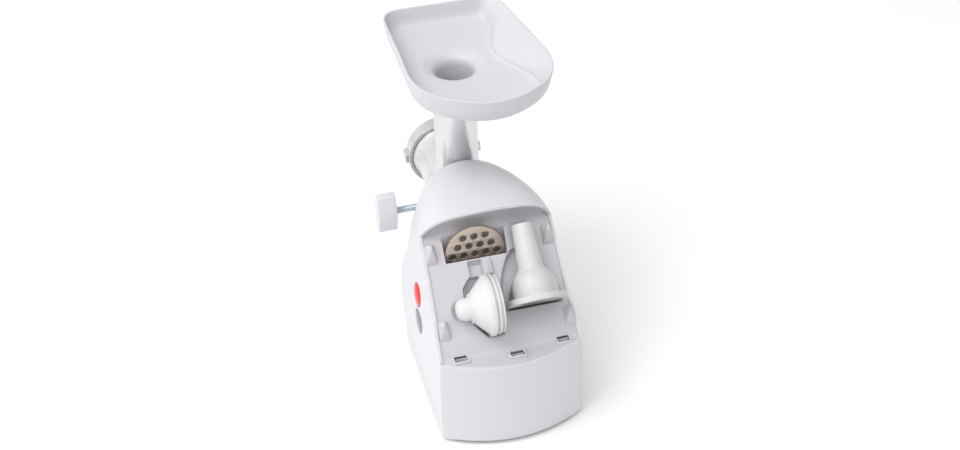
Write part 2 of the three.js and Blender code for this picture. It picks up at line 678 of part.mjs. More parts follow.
function hopperTray() {
  const spigot = CHUTE_BORE - 0.5;
  const sections = [
    hopperRing(CHUTE_RADIUS + 2, HOPPER_BOTTOM_Z),
    hopperLevel(0.9, 0, HOPPER_BOTTOM_Z + 2),
    hopperLevel(0.94, 0, HOPPER_BOTTOM_Z + 6),
    hopperLevel(1, 0, HOPPER_RIM_Z),
    hopperLevel(1, HOPPER_WALL, HOPPER_RIM_Z),
    hopperLevel(0.94, HOPPER_WALL, HOPPER_BOTTOM_Z + 9),
    hopperLevel(0.9, HOPPER_WALL, HOPPER_BOTTOM_Z + 5.5),
    hopperRing(23.5, HOPPER_BOTTOM_Z + 3.5),
    hopperRing(19.8, HOPPER_BOTTOM_Z + 1),
    hopperRing(18.8, HOPPER_BOTTOM_Z - 18),
    hopperRing(spigot - 0.4, HOPPER_BOTTOM_Z - 18),
    hopperRing(spigot, HOPPER_BOTTOM_Z),
  ];
  sections.push(sections[0].map((point) => point.clone()));
  return toSolid(new LoftGeometry(sections));
}

addPart('hopper_tray', hopperTray(), 'tray');

// ---- Stored accessories ---------------------------------------------------------------------

const bay = new THREE.Group();
bay.applyMatrix4(panelMatrix());
root.add(bay);

// The sausage tube lies along the slope, its flange at the lower end.
function sausageTube() {
  return revolve('y', [TUBE_X, TUBE_HEIGHT], [
    [9.2, 5.6], [11, 5.6], [13.4, 54], [16, 56], [21, 62], [23.6, 70], [24.2, 83], [32.5, 83], [32.5, 89],
    [22, 89], [22, 72], [19, 64], [13.5, 57], [11.6, 54],
  ], 28);
}

// The forming cone lies across the slope with its nose towards +X.
function formingCone() {
  return revolve('x', [CONE_S, CONE_HEIGHT], [
    [0, 51], [7, 50], [11, 46], [12, 41], [12, 36], [16, 34.5], [16, 31], [21, 30], [28, 19.5], [32.4, 19],
    [32.4, 14], [27, 13.5], [27, 9], [31, 8.5], [31, 5.5], [20, 5.5], [20, 12], [12, 28], [0, 30],
  ], 24);
}

addPart('sausage_tube', sausageTube(), 'tube', bay);
addPart('forming_cone', formingCone(), 'tray', bay);

const storedPlate = addPart(
  'stored_plate', plateSolid(-STORED_PLATE_THICK / 2, STORED_PLATE_THICK / 2), 'steel');
storedPlate.position.copy(STORED_PLACE);
storedPlate.rotation.x = STORED_LEAN;

// ---- Drive ----------------------------------------------------------------------------------

const UP = Math.PI / 2;
const outputPitch = 2 * Math.PI / OUTPUT_TEETH;
const idlerPitch = 2 * Math.PI / IDLER_TEETH;

addPart('motor_pinion', gear(PINION_TEETH, FIRST_MODULE, UP, MOTOR_Z, 2.8, -42, -32), 'steel');
addPart('idler_gear', gear(IDLER_TEETH, FIRST_MODULE, -UP + idlerPitch / 2, IDLER_Z, 4.4, -41, -33), 'gear');
addPart('idler_pinion', gear(IDLER_PINION_TEETH, SECOND_MODULE, UP, IDLER_Z, 4.4, -32.4, -18), 'steel');
addPart('idler_axle', rod('y', [0, IDLER_Z], 4, -47, -11.5, 16), 'steel');
addPart(
  'output_gear', gear(OUTPUT_TEETH, SECOND_MODULE, -UP + outputPitch / 2, HEAD_Z, 10.4, -31, -19), 'gear');

function outputShaft() {
  const shaft = revolve('y', [0, HEAD_Z], [
    [0, -4], [8, -4], [8, -18], [9.9, -18], [9.9, -31.5], [6.3, -31.5], [6.3, -42.4], [12, -42.4], [12, -55],
    [0, -55],
  ], 20);
  return cut(shaft, prism('y', hexagon(8.2), -60, -44));
}

addPart('output_shaft', outputShaft(), 'steel');

// The gear case: an oval cup open to the front, closed by a cover plate.
function caseShape(grow) {
  const shape = new THREE.Shape();
  shape.absarc(0, HEAD_Z, 43.6 + grow, 0, Math.PI, false);
  shape.absarc(0, MOTOR_Z + 32, 43.6 + grow, Math.PI, 2 * Math.PI, false);
  shape.closePath();
  return shape;
}

const caseHoles = (from, to) => [
  rod('y', [0, HEAD_Z], 12.6, from, to, 24),
  rod('y', [0, IDLER_Z], 4.4, from, to, 16),
  rod('y', [0, MOTOR_Z], 12.2, from, to, 20),
];

addPart('gear_case', cut(
  prism('y', caseShape(3), -44, -12),
  prism('y', caseShape(0), -45, -15),
  ...caseHoles(-20, -10),
), 'black');
addPart('gear_cover', cut(prism('y', caseShape(3), -47, -44.3), ...caseHoles(-50, -43)), 'black');
addPart('output_bearing', ring('y', [0, HEAD_Z], 8.4, 12.2, -14.8, -6, 20), 'steel');
addPart('front_motor_bearing', ring('y', [0, MOTOR_Z], 4.4, 11.8, -14.8, -9, 20), 'steel');
addPart('rear_motor_bearing', ring('y', [0, MOTOR_Z], 4.4, 10, 68, 74, 20), 'steel');

addPart('rear_bracket', cut(
  prism('y', polygon([
    [-40, 10], [40, 10], [40, 20], [12, MOTOR_Z + 14], [-12, MOTOR_Z + 14], [-40, 20],
  ]), 67.5, 74.5),
  rod('y', [0, MOTOR_Z], 10.4, 60, 80, 20),
), 'aluminium');

addPart('motor_shaft', revolve('y', [0, MOTOR_Z], [
  [0, -43], [2.5, -43], [2.5, -16], [4, -16], [4, 86], [0, 86],
], 12), 'steel');
addPart('rotor_core', ring('y', [0, MOTOR_Z], 4.4, 21, -2, 42, 28), 'steel');
addPart('commutator', ring('y', [0, MOTOR_Z], 4.4, 12, 50, 63, 24), 'copper');

function stator() {
  const shell = ring('y', [0, MOTOR_Z], 32, STATOR_RADIUS, 0, 40, 24);
  const poles = [UP, -UP].map((turn) => {
    const pole = new THREE.Shape();
    pole.absarc(0, 0, 22, turn - 0.75, turn + 0.75, false);
    pole.absarc(0, 0, 27, turn + 0.75, turn + 0.35, true);
    pole.absarc(0, 0, 33.5, turn + 0.25, turn - 0.25, true);
    pole.absarc(0, 0, 27, turn - 0.35, turn - 0.75, true);
    pole.closePath();
    const geometry = new THREE.ExtrudeGeometry(pole, { depth: 40, bevelEnabled: false, curveSegments: 4 });
    geometry.translate(0, MOTOR_Z, -40);
    geometry.applyMatrix4(FRAMES.y);
    return toSolid(geometry);
  });
  return join(shell, ...poles);
}

addPart('stator_core', stator(), 'steel');

// Field windings: one round each pole, seen at both ends of the core.
function fieldCoil(turn) {
  const half = new THREE.Shape();
  half.absarc(0, 0, 31.2, turn - 0.85, turn + 0.85, false);
  half.absarc(0, 0, 27.6, turn + 0.85, turn - 0.85, true);
  half.closePath();
  const geometry = new THREE.ExtrudeGeometry(half, { depth: 56, bevelEnabled: false, curveSegments: 8 });
  geometry.translate(0, MOTOR_Z, -48);
  geometry.applyMatrix4(FRAMES.y);
  const poleRoom = new THREE.Shape();
  poleRoom.absarc(0, 0, 40, turn - 0.42, turn + 0.42, false);
  poleRoom.lineTo(0, 0);
  poleRoom.closePath();
  const room = new THREE.ExtrudeGeometry(poleRoom, { depth: 41, bevelEnabled: false, curveSegments: 4 });
  room.translate(0, MOTOR_Z, -40.5);
  room.applyMatrix4(FRAMES.y);
  return cut(toSolid(geometry), toSolid(room));
}

addPart('upper_field_coil', fieldCoil(UP), 'copper');
addPart('lower_field_coil', fieldCoil(-UP), 'copper');

for (const [name, side] of [['right', 1], ['left', -1]]) {
  const span = (a, b) => (side > 0 ? [a, b] : [-b, -a]);
  addPart(`${name}_brush`, box(span(12.4, 27), [54, 59], [MOTOR_Z - 3, MOTOR_Z + 3]), 'black');
  addPart(`${name}_brush_holder`, cut(
    box(span(15, 30), [51, 62], [MOTOR_Z - 6, MOTOR_Z + 6]),
    box(span(10, 27.4), [53.6, 59.4], [MOTOR_Z - 3.4, MOTOR_Z + 3.4]),
  ), 'copper');
}

function fan() {
  const hub = ring('y', [0, MOTOR_Z], 4.4, 9, 76, 84, 20);
  const disc = ring('y', [0, MOTOR_Z], 8, 25, 76, 77.6, 24);
  const blades = [];
  const bladeCount = 6;
  for (let i = 0; i < bladeCount; i += 1) {
    const turn = 2 * Math.PI * i / bladeCount;
    const [c, s] = [Math.cos(turn), Math.sin(turn)];
    const corner = (r, t) => [r * c - t * s, MOTOR_Z + r * s + t * c];
    const blade = polygon([corner(8, -0.8), corner(24.5, -0.8), corner(24.5, 0.8), corner(8, 0.8)]);
    blades.push(prism('y', blade, 77, 84));
  }
  return join(hub, disc, ...blades);
}

addPart('cooling_fan', fan(), 'inner');

// ---- Frame ----------------------------------------------------------------------------------

// The origin is the middle of the whole object's footprint, on the surface that it stands on.
root.updateMatrixWorld(true);
const extent = new THREE.Box3().setFromObject(root, true);
const middle = extent.getCenter(new THREE.Vector3());
root.position.set(-middle.x, -middle.y, -extent.min.z);

export default root;
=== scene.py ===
import json
import math

import bmesh
import bpy
import numpy as np
from mathutils import Matrix, Vector


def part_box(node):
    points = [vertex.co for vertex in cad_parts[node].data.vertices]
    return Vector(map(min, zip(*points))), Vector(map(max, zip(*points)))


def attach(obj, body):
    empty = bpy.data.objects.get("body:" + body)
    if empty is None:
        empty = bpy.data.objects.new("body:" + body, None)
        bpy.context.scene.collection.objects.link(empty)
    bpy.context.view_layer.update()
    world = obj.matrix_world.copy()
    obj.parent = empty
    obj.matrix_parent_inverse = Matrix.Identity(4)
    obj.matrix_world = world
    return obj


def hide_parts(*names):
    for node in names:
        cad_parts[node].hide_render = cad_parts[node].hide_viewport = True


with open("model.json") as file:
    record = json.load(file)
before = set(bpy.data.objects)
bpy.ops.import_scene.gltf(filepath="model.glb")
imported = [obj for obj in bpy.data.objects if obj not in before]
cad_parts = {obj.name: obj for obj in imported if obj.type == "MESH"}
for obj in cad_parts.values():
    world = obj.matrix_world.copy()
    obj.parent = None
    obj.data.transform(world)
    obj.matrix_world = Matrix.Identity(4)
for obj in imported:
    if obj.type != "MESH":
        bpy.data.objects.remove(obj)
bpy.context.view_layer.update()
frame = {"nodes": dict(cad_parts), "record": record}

# ---- Places ---------------------------------------------------------------------------------
# Lengths are in millimetres in the object's own plane of symmetry: x = 0 is the axis of the
# grinding head, +Z is up and the head points along -Y. SHIFT carries them into the frame.

MM = 0.001
LOCK_Y, LOCK_Z = -72.0, 169.0
HEAD_Z = 167.0


def middle(node):
    low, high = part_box(node)
    return (low + high) / 2


SHIFT = Vector((middle("grinding_plate").x, middle("lock_screw").y - LOCK_Y * MM, 0))

WALL = 3.0
DOME_TOP_Z = 230.2
FRONT_Y = -76.0
WIDEST_Y = 20.0
REAR_CORNER_Y = 121.0
REAR_BULGE = 22.0
REAR_TAPER = 3.0
REAR_CORNER = 5.0
REAR_DRAFT = 0.05
SIDE_DRAFT = 0.0366
SIDE_X = 79.0
FOOT_HEIGHT = 6.0
LEDGE_Z = 106.0
RIM_RISE = 2.0
ARCH_LEAN = 0.4
SLOPE = math.radians(43.7)
PANEL_TOP = (18.3, 196.6)
PANEL_LENGTH = 130.8
CHUTE_Y = -100.5

# ---- Mesh helpers ---------------------------------------------------------------------------


def to_object(name, points, faces, crease=35):
    """A mesh object from points in millimetres, smooth except where its faces turn sharply."""
    mesh = bpy.data.meshes.new(name)
    placed = [tuple(Vector(p) * MM + SHIFT) for p in points]
    mesh.from_pydata(placed, [], [tuple(int(i) for i in face) for face in faces])
    obj = bpy.data.objects.new(name, mesh)
    bpy.context.scene.collection.objects.link(obj)
    tidy(obj, crease)
    return obj


def tidy(obj, crease=35, merge=1e-6):
    """Joins doubled points, turns the faces outwards and sets the shading."""
    form = bmesh.new()
    form.from_mesh(obj.data)
    bmesh.ops.remove_doubles(form, verts=form.verts, dist=merge)
    bmesh.ops.dissolve_degenerate(form, edges=form.edges, dist=merge)
    bmesh.ops.recalc_face_normals(form, faces=form.faces)
    form.to_mesh(obj.data)
    form.free()
    shade(obj, crease)


def shade(obj, crease=35):
    obj.data.polygons.foreach_set("use_smooth", [True] * len(obj.data.polygons))
    obj.data.set_sharp_from_angle(angle=math.radians(crease))


def apply_modifiers(obj):
    graph = bpy.context.evaluated_depsgraph_get()
    mesh = bpy.data.meshes.new_from_object(obj.evaluated_get(graph))
    obj.modifiers.clear()
    obj.data = mesh


def combine(obj, tool, operation):
    """Joins or cuts with a tool object, which is then removed."""
    change = obj.modifiers.new("combine", "BOOLEAN")
    change.operation = operation
    change.solver = "EXACT"
    change.object = tool
    apply_modifiers(obj)
    bpy.data.objects.remove(tool)


def round_edges(obj, width, steps=3, angle=40, crease=35):
    bevel = obj.modifiers.new("edges", "BEVEL")
    bevel.width = width * MM
    bevel.segments = steps
    bevel.limit_method = "ANGLE"
    bevel.angle_limit = math.radians(angle)
    bevel.harden_normals = False
    apply_modifiers(obj)
    shade(obj, crease)


def soften(points, radius, steps=5, closed=False):
    """Rounds the corners of a line of points, each given as a tuple of numbers."""
    points = [np.array(p, float) for p in points]
    count = len(points)
    out = []
    for i, point in enumerate(points):
        reach = radius[i] if isinstance(radius, (list, tuple)) else radius
        at_end = not closed and i in (0, count - 1)
        if at_end or reach == 0:
            out.append(point)
            continue
        before = points[i - 1] - point
        after = points[(i + 1) % count] - point
        trim_in = min(reach, np.linalg.norm(before) * 0.48)
        trim_out = min(reach, np.linalg.norm(after) * 0.48)
        start = point + before / np.linalg.norm(before) * trim_in
        end = point + after / np.linalg.norm(after) * trim_out
        for t in np.linspace(0, 1, steps):
            out.append(start * (1 - t) ** 2 + 2 * point * t * (1 - t) + end * t * t)
    return out


def rings_to_faces(rings, around, closed_rows=False, cap_start=False, cap_end=False):
    faces = []
    last = rings if closed_rows else rings - 1
    for r in range(last):
        a, b = r * around, ((r + 1) % rings) * around
        for k in range(around):
            n = (k + 1) % around
            faces.append((a + k, a + n, b + n, b + k))
    if cap_start:
        faces.append(tuple(range(around)))
    if cap_end:
        faces.append(tuple((rings - 1) * around + k for k in reversed(range(around))))
    return faces


def revolve(
        name, axis, at, profile, corner=0.6, around=128, closed=False, swell=None, crease=35,
        steps=4):
    """A turned piece. The profile is (radius, place along the axis), its corners softened.
    swell, where given, adds to the radius by the angle and the profile's point."""
    line = soften(profile, corner, steps, closed)
    points = []
    for radius, along in line:
        for k in range(around):
            turn = 2 * math.pi * k / around
            r = radius + (swell(turn, radius, along) if swell else 0)
            u, v = r * math.cos(turn), r * math.sin(turn)
            if axis == "x":
                points.append((along, at[0] + u, at[1] + v))
            elif axis == "y":
                points.append((at[0] + u, along, at[1] + v))
            else:
                points.append((at[0] + u, at[1] + v, along))
    faces = rings_to_faces(len(line), around, closed_rows=closed)
    return to_object(name, points, faces, crease)


def rod(axis, at, radius, start, end, around=64):
    """A plain round bar, used only to join to or cut from another piece."""
    profile = [(0, start), (radius, start), (radius, end), (0, end)]
    return revolve("rod", axis, at, profile, 0, around)


def block(low, high):
    """A plain block, used only to join to or cut from another piece."""
    xs, ys, zs = zip(low, high)
    points = [(x, y, z) for z in zs for y in ys for x in xs]
    faces = [(0, 1, 3, 2), (4, 6, 7, 5), (0, 4, 5, 1), (2, 3, 7, 6), (0, 2, 6, 4), (1, 5, 7, 3)]
    return to_object("block", points, faces)


def prism_x(name, outline, start, end):
    """An outline in (y, z) swept along X."""
    count = len(outline)
    points = [(x, y, z) for x in (start, end) for y, z in outline]
    return to_object(name, points, rings_to_faces(2, count, cap_start=True, cap_end=True))


def on_panel(s, h):
    """A place in (y, z): s down the storage panel's slope and h above its surface."""
    cos, sin = math.cos(SLOPE), math.sin(SLOPE)
    return PANEL_TOP[0] + s * cos + h * sin, PANEL_TOP[1] - s * sin + h * cos


def from_panel(x, s, h):
    return (x, *on_panel(s, h))


def piece(obj, body, material, slot, *nodes):
    """Gives a finished piece its body, its material and the CAD nodes that it stands for."""
    obj.data.materials.clear()
    obj.data.materials.append(material)
    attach(obj, body)
    if nodes:
        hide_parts(*nodes)
    return obj


# ---- Materials ------------------------------------------------------------------------------


class Nodes:
    """A material and short ways to add nodes to it."""

    def __init__(self, name):
        self.material = bpy.data.materials.new(name)
        self.material.use_nodes = True
        self.tree = self.material.node_tree
        self.shader = self.tree.nodes["Principled BSDF"]
        self.place = self.add("ShaderNodeTexCoord").outputs["Object"]

    def add(self, kind, **values):
        node = self.tree.nodes.new(kind)
        for key, value in values.items():
            setattr(node, key, value)
        return node

    def link(self, source, target):
        self.tree.links.new(source, target)

    def scaled(self, x, y, z):
        node = self.add("ShaderNodeMapping")
        node.inputs["Scale"].default_value = (x, y, z)
        self.link(self.place, node.inputs["Vector"])
        return node.outputs["Vector"]

    def noise(self, scale, detail=2.0, roughness=0.5, vector=None):
        node = self.add("ShaderNodeTexNoise")
        node.inputs["Scale"].default_value = scale
        node.inputs["Detail"].default_value = detail
        node.inputs["Roughness"].default_value = roughness
        self.link(vector or self.place, node.inputs["Vector"])
        return node.outputs["Fac"]

    def between(self, factor, low, high):
        """A number that follows a factor from low to high."""
        node = self.add("ShaderNodeMapRange")
        node.inputs["From Min"].default_value = 0.3
        node.inputs["From Max"].default_value = 0.7
        node.inputs["To Min"].default_value = low
        node.inputs["To Max"].default_value = high
        self.link(factor, node.inputs["Value"])
        return node.outputs["Result"]

    def colours(self, factor, first, second):
        node = self.add("ShaderNodeMix", data_type="RGBA")
        node.inputs["A"].default_value = (*first, 1)
        node.inputs["B"].default_value = (*second, 1)
        self.link(factor, node.inputs["Factor"])
        self.link(node.outputs["Result"], self.shader.inputs["Base Color"])

    def bump(self, *layers):
        """Stacks bumps, each a height, a strength and a depth in metres."""
        normal = None
        for height, strength, depth in layers:
            node = self.add("ShaderNodeBump")
            node.inputs["Strength"].default_value = strength
            node.inputs["Distance"].default_value = depth
            self.link(height, node.inputs["Height"])
            if normal:
                self.link(normal, node.inputs["Normal"])
            normal = node.outputs["Normal"]
        self.link(normal, self.shader.inputs["Normal"])

    def roughness(self, value):
        self.link(value, self.shader.inputs["Roughness"])


def plastic(name, first, second, rough, grain=0.00002):
    """Moulded plastic: slight flow marks in its colour and gloss, and a faint orange peel."""
    m = Nodes(name)
    m.colours(m.between(m.noise(9, 3), 0, 1), first, second)
    m.roughness(m.between(m.noise(12, 1), rough * 0.94, rough * 1.06))
    m.bump((m.noise(250, 0), 0.1, grain))
    m.shader.inputs["IOR"].default_value = 1.5
    return m.material


def metal(name, first, second, rough, stretch=(1, 1, 1), brush=0.35, pits=0.2):
    """Metal with a brushed or turned grain along the direction that stretch leaves long."""
    m = Nodes(name)
    grain = m.noise(900, 3, 0.6, m.scaled(*stretch))
    cloud = m.noise(26, 3)
    m.colours(m.between(cloud, 0, 1), first, second)
    m.roughness(m.between(grain, rough * 0.75, rough * 1.3))
    m.shader.inputs["Metallic"].default_value = 1.0
    m.bump((grain, brush, 0.00002), (m.noise(180, 3), pits, 0.00005))
    return m.material


GLOSS = plastic("white_gloss_plastic", (0.645, 0.635, 0.668), (0.632, 0.622, 0.655), 0.37)
# The bay's plastic is darker than the gloss plastic. This is partly a matte plastic of its own, and
# partly painted shade for the shade in the recess between the side walls.
BAY_PLASTIC_WITH_PAINTED_SHADE = plastic("bay_plastic_with_painted_shade", (0.55, 0.54, 0.57), (0.537, 0.527, 0.557), 0.36)
TRAY = plastic("tray_plastic", (0.59, 0.585, 0.622), (0.577, 0.572, 0.608), 0.37)
CONE = plastic("cone_plastic", (0.69, 0.69, 0.7), (0.67, 0.67, 0.68), 0.3)
TUBE = plastic("tube_plastic", (0.6, 0.605, 0.605), (0.575, 0.58, 0.58), 0.34)
RED = plastic("red_button_plastic", (0.72, 0.03, 0.018), (0.66, 0.024, 0.014), 0.3)
MAUVE = plastic("mauve_button_plastic", (0.27, 0.23, 0.29), (0.24, 0.2, 0.26), 0.3)
RUBBER = plastic("foot_rubber", (0.6, 0.6, 0.62), (0.55, 0.55, 0.57), 0.6, grain=0.00006)
BLACK = plastic("black_plastic", (0.02, 0.02, 0.022), (0.03, 0.03, 0.032), 0.5)
NYLON = plastic("nylon", (0.78, 0.74, 0.62), (0.74, 0.7, 0.58), 0.45)
ALONG_X, ALONG_Y, ALONG_Z = (0.05, 1, 1), (1, 0.05, 1), (1, 1, 0.04)
CAST = metal(
    "polished_aluminium", (0.76, 0.755, 0.77), (0.7, 0.695, 0.71), 0.3, ALONG_Z, brush=0.03,
    pits=0.02)
TURNED = metal(
    "turned_aluminium", (0.74, 0.735, 0.75), (0.68, 0.675, 0.69), 0.26, ALONG_Y, brush=0.03,
    pits=0.02)
PLATE = metal(
    "plate_steel", (0.72, 0.62, 0.54), (0.6, 0.51, 0.44), 0.45, ALONG_X, brush=0.1, pits=0.1)
ZINC = metal("zinc_steel", (0.55, 0.62, 0.7), (0.47, 0.54, 0.62), 0.28, ALONG_X, brush=0.1)
STEEL = metal("inner_steel", (0.55, 0.55, 0.54), (0.45, 0.45, 0.44), 0.32, ALONG_Y, brush=0.15)
COPPER = metal("copper", (0.72, 0.36, 0.2), (0.6, 0.28, 0.15), 0.35, brush=0.15)

# ---- Housing --------------------------------------------------------------------------------

# Height, half width, reach forward of the widest place, and how square the front corners are.
LEVELS = np.array([
    (6, 78.6, 126, 4.5), (45, 79.8, 125, 5.5), (82, 80, 119, 5.5), (106, 79.2, 110, 5),
    (124, 78, 104, 3.9), (142, 75.6, 112, 3.2), (160, 74.2, 120, 2.6), (178, 73, 124, 2.1),
    (197, 71.8, 123, 1.8), (208, 67.5, 116, 1.7), (216, 61.5, 103, 1.7), (222.5, 53, 86, 1.8),
    (227, 40, 61, 1.9), (230.2, 0, 0, 2),
])
# The flat front face: the height that it starts to appear at, how far it comes forward and over
# what height as it fades, and how softly it meets the rounded sides.
NOSE_START_Z = 111.0
NOSE_FORWARD = 10.0
NOSE_FADE = 29.0
NOSE_SOFTNESS = 2.2


def smooth_through(xs, ys, at):
    """A curve through points that never overshoots them."""
    xs, ys = np.asarray(xs, float), np.asarray(ys, float)
    gap = np.diff(xs)
    rise = np.diff(ys) / gap
    slope = np.zeros(len(xs))
    slope[0], slope[-1] = rise[0], rise[-1]
    for i in range(1, len(xs) - 1):
        if rise[i - 1] * rise[i] > 0:
            w1, w2 = 2 * gap[i] + gap[i - 1], gap[i] + 2 * gap[i - 1]
            slope[i] = (w1 + w2) / (w1 / rise[i - 1] + w2 / rise[i])
    i = np.clip(np.searchsorted(xs, at) - 1, 0, len(xs) - 2)
    t = (at - xs[i]) / gap[i]
    a = (1 + 2 * t) * (1 - t) ** 2
    b = t * (1 - t) ** 2
    c = t * t * (3 - 2 * t)
    d = t * t * (t - 1)
    return a * ys[i] + b * gap[i] * slope[i] + c * ys[i + 1] + d * gap[i] * slope[i + 1]


def level_at(z):
    """The half width, reach and squareness at a height. Squared lengths keep the crown round."""
    at = np.clip(z, FOOT_HEIGHT, DOME_TOP_Z - 0.02)
    width, reach = (smooth_through(LEVELS[:, 0], LEVELS[:, k] ** 2, at) ** 0.5 for k in (1, 2))
    return [width, reach, smooth_through(LEVELS[:, 0], LEVELS[:, 3], at)]


def rear_half_width(z):
    width = level_at(z)[0]
    rise = min(1, max(0, (z - FOOT_HEIGHT) / (LEDGE_Z - FOOT_HEIGHT)))
    return max(width - REAR_TAPER * rise, width * 0.5)


def rear_corner_y(z, inset):
    return REAR_CORNER_Y - inset - (z - FOOT_HEIGHT) * REAR_DRAFT


def housing_ring(z, inset=0.0):
    """The outline of the housing at one height, as points in (x, y)."""
    width, reach, square = level_at(z)
    width -= inset
    reach -= inset
    front = []
    for t in np.linspace(math.pi, 2 * math.pi, 121):
        x = width * math.copysign(abs(math.cos(t)) ** (2 / square), math.cos(t))
        y = WIDEST_Y - reach * abs(math.sin(t)) ** (2 / square)
        if z > NOSE_START_Z:
            fade = max(0, (NOSE_START_Z + NOSE_FADE - z) / NOSE_FADE)
            nose = FRONT_Y + inset - NOSE_FORWARD * fade
            over = (nose - y) / NOSE_SOFTNESS
            y = nose + NOSE_SOFTNESS * (math.log1p(math.exp(-abs(over))) + max(-over, 0))
        front.append((x, y))
    rear_width = rear_half_width(z) - inset
    rear_y = rear_corner_y(z, inset)
    sides = [(t, WIDEST_Y + (rear_y - WIDEST_Y) * t) for t in np.linspace(0, 1, 30)[1:-1]]
    right = [(width + (rear_width - width) * t, y) for t, y in sides]
    rear = []
    for across in np.linspace(1, -1, 49):
        rear.append((rear_width * across, rear_y + REAR_BULGE * (1 - across * across)))
    left = [(-x, y) for x, y in reversed(right)]
    rear[0:1] = soften([right[-1], rear[0], rear[1]], REAR_CORNER, 6)[1:-1]
    rear[-1:] = soften([rear[-2], rear[-1], left[0]], REAR_CORNER, 6)[1:-1]
    return front + right + rear + left


def housing_skin():
    heights = [*np.linspace(FOOT_HEIGHT, 200, 66), *np.linspace(202, 226, 18)]
    heights += [227, 227.8, 228.5, 229, 229.4, 229.7, 229.9, 230.02, 230.1, 230.15, 230.18]
    points, around = [], 0
    for z in heights:
        ring = housing_ring(z)
        around = len(ring)
        points += [(x, y, z) for x, y in ring]
    faces = rings_to_faces(len(heights), around, cap_end=True)
    return to_object("housing_shell_skin", points, faces, 60)


def cut_bay(obj):
    """Opens the skin above the storage panel and behind the arch of the dome."""
    form = bmesh.new()
    form.from_mesh(obj.data)
    sin, cos = math.sin(SLOPE), math.cos(SLOPE)
    planes = [
        ((0, *on_panel(0, RIM_RISE)), (0, sin, cos)),
        ((0, *PANEL_TOP), (0, 1, -ARCH_LEAN)),
        ((0, 0, LEDGE_Z), (0, 0, 1)),
    ]
    placed = [(Vector(p) * MM + SHIFT, Vector(n).normalized()) for p, n in planes]
    for point, normal in placed:
        everything = list(form.verts) + list(form.edges) + list(form.faces)
        bmesh.ops.bisect_plane(form, geom=everything, plane_co=point, plane_no=normal, dist=1e-6)
    gone = []
    for face in form.faces:
        middle_point = face.calc_center_median()
        if all((middle_point - point).dot(normal) > 0 for point, normal in placed):
            gone.append(face)
    bmesh.ops.delete(form, geom=gone, context="FACES")
    form.to_mesh(obj.data)
    form.free()


# Places on the housing's sides, in (y, z).
BUTTONS = {"start": (22.0, 124.0), "reverse": (31.0, 95.0)}
BUTTON_RADIUS = 13.4
GLAND = (-40.0, 28.0)


def housing_shell():
    shell = housing_skin()
    cut_bay(shell)
    thick = shell.modifiers.new("wall", "SOLIDIFY")
    thick.thickness = WALL * MM
    thick.offset = -1
    apply_modifiers(shell)
    round_edges(shell, 0.9, 3, 50, 60)
    boss_profile = [(0, 38), (8.5, 38), (8.5, 50.5), (0, 50.5)]
    combine(shell, revolve("boss", "x", (LOCK_Y, LOCK_Z), boss_profile, 1.2, 64), "UNION")
    combine(shell, rod("y", (0, HEAD_Z), 33.4, -90, -60, 96), "DIFFERENCE")
    combine(shell, rod("x", (LOCK_Y, LOCK_Z), 4.7, 30, 90), "DIFFERENCE")
    for y, z in BUTTONS.values():
        combine(shell, rod("x", (y, z), BUTTON_RADIUS + 0.6, 60, 90, 96), "DIFFERENCE")
    combine(shell, rod("x", GLAND, 7.4, -90, -60), "DIFFERENCE")
    tidy(shell, 32)
    shell.name = "housing_shell_moulding"
    return piece(shell, "housing", GLOSS, "white_gloss", "housing_shell")


# ---- Storage bay ----------------------------------------------------------------------------


def outline_distance(x, s, corners, radius):
    """Signed distance from points to a polygon with rounded corners, negative inside."""
    points = np.array(soften(corners, radius, 6, closed=True))
    best = np.full(x.shape, 1e9)
    inside = np.zeros(x.shape, bool)
    for (ax, ay), (bx, by) in zip(points, np.roll(points, -1, axis=0)):
        ex, ey = bx - ax, by - ay
        length = ex * ex + ey * ey
        if length < 1e-12:
            continue
        t = np.clip(((x - ax) * ex + (s - ay) * ey) / length, 0, 1)
        best = np.minimum(best, np.hypot(x - ax - t * ex, s - ay - t * ey))
        crosses = (ay > s) != (by > s)
        with np.errstate(divide="ignore", invalid="ignore"):
            inside ^= crosses & (x < (bx - ax) * (s - ay) / (by - ay) + ax)
    return np.where(inside, -best, best)


def ease(t):
    t = np.clip(t, 0, 1)
    return t * t * (3 - 2 * t)


# Outlines on the panel, in (x, s), where s is the distance down the slope from its top.
PLATE_SLOT = [(-18.7, 2), (49.7, 2), (49.7, 31), (-18.7, 31)]
CHANNEL = [(11.5, 32.5), (27, 32.5), (27, 60), (11.5, 60)]
CONE_NOTCH = [(12, 48), (27, 48), (33, 54), (38, 61), (38, 70), (12, 70)]
RIB = [(2.6, 33), (5.4, 33), (5.4, 50), (2.6, 50)]
TUBE_HOLLOW = [(-20, 26), (-8, 46), (-1.5, 66), (-1.5, 91.5), (-40, 91.5), (-40, 26)]
TUBE_X, TUBE_H = -35.0, 15.0
CONE_S, CONE_H = 82.0, 11.0
# The troughs under the filling tube and the cone: a radius at each place along their axes.
TUBE_TROUGH = ([-4, 40, 52, 62, 72, 80, 92], [17.6, 18.4, 22, 27.5, 31, 33.6, 33.8])
CONE_TROUGH = (
    [3.5, 20, 21.5, 31, 34, 37, 49, 53, 56], [34.2, 34.2, 33, 22, 18.5, 15.2, 14.6, 11.5, 0])
HOLLOW_DEPTH = 6.5
NOTCH_DEPTH = 13.0
RIB_HEIGHT = 4.5
BAY_INSET = WALL - 0.7


def trough(across, along, places, radii, height):
    """How deep a round trough is that follows a turned piece, whose axis lies at a height."""
    radius = np.interp(along, places, radii)
    room = radius * radius - across * across
    depth = np.sqrt(np.maximum(room, 0)) - height
    return np.where(room > 0, depth, -height)


def soft_floor(depth, softness):
    """The depth where it is positive, with a rounded edge."""
    scaled = depth / softness
    return softness * (np.maximum(scaled, 0) + np.log1p(np.exp(-np.abs(scaled))))


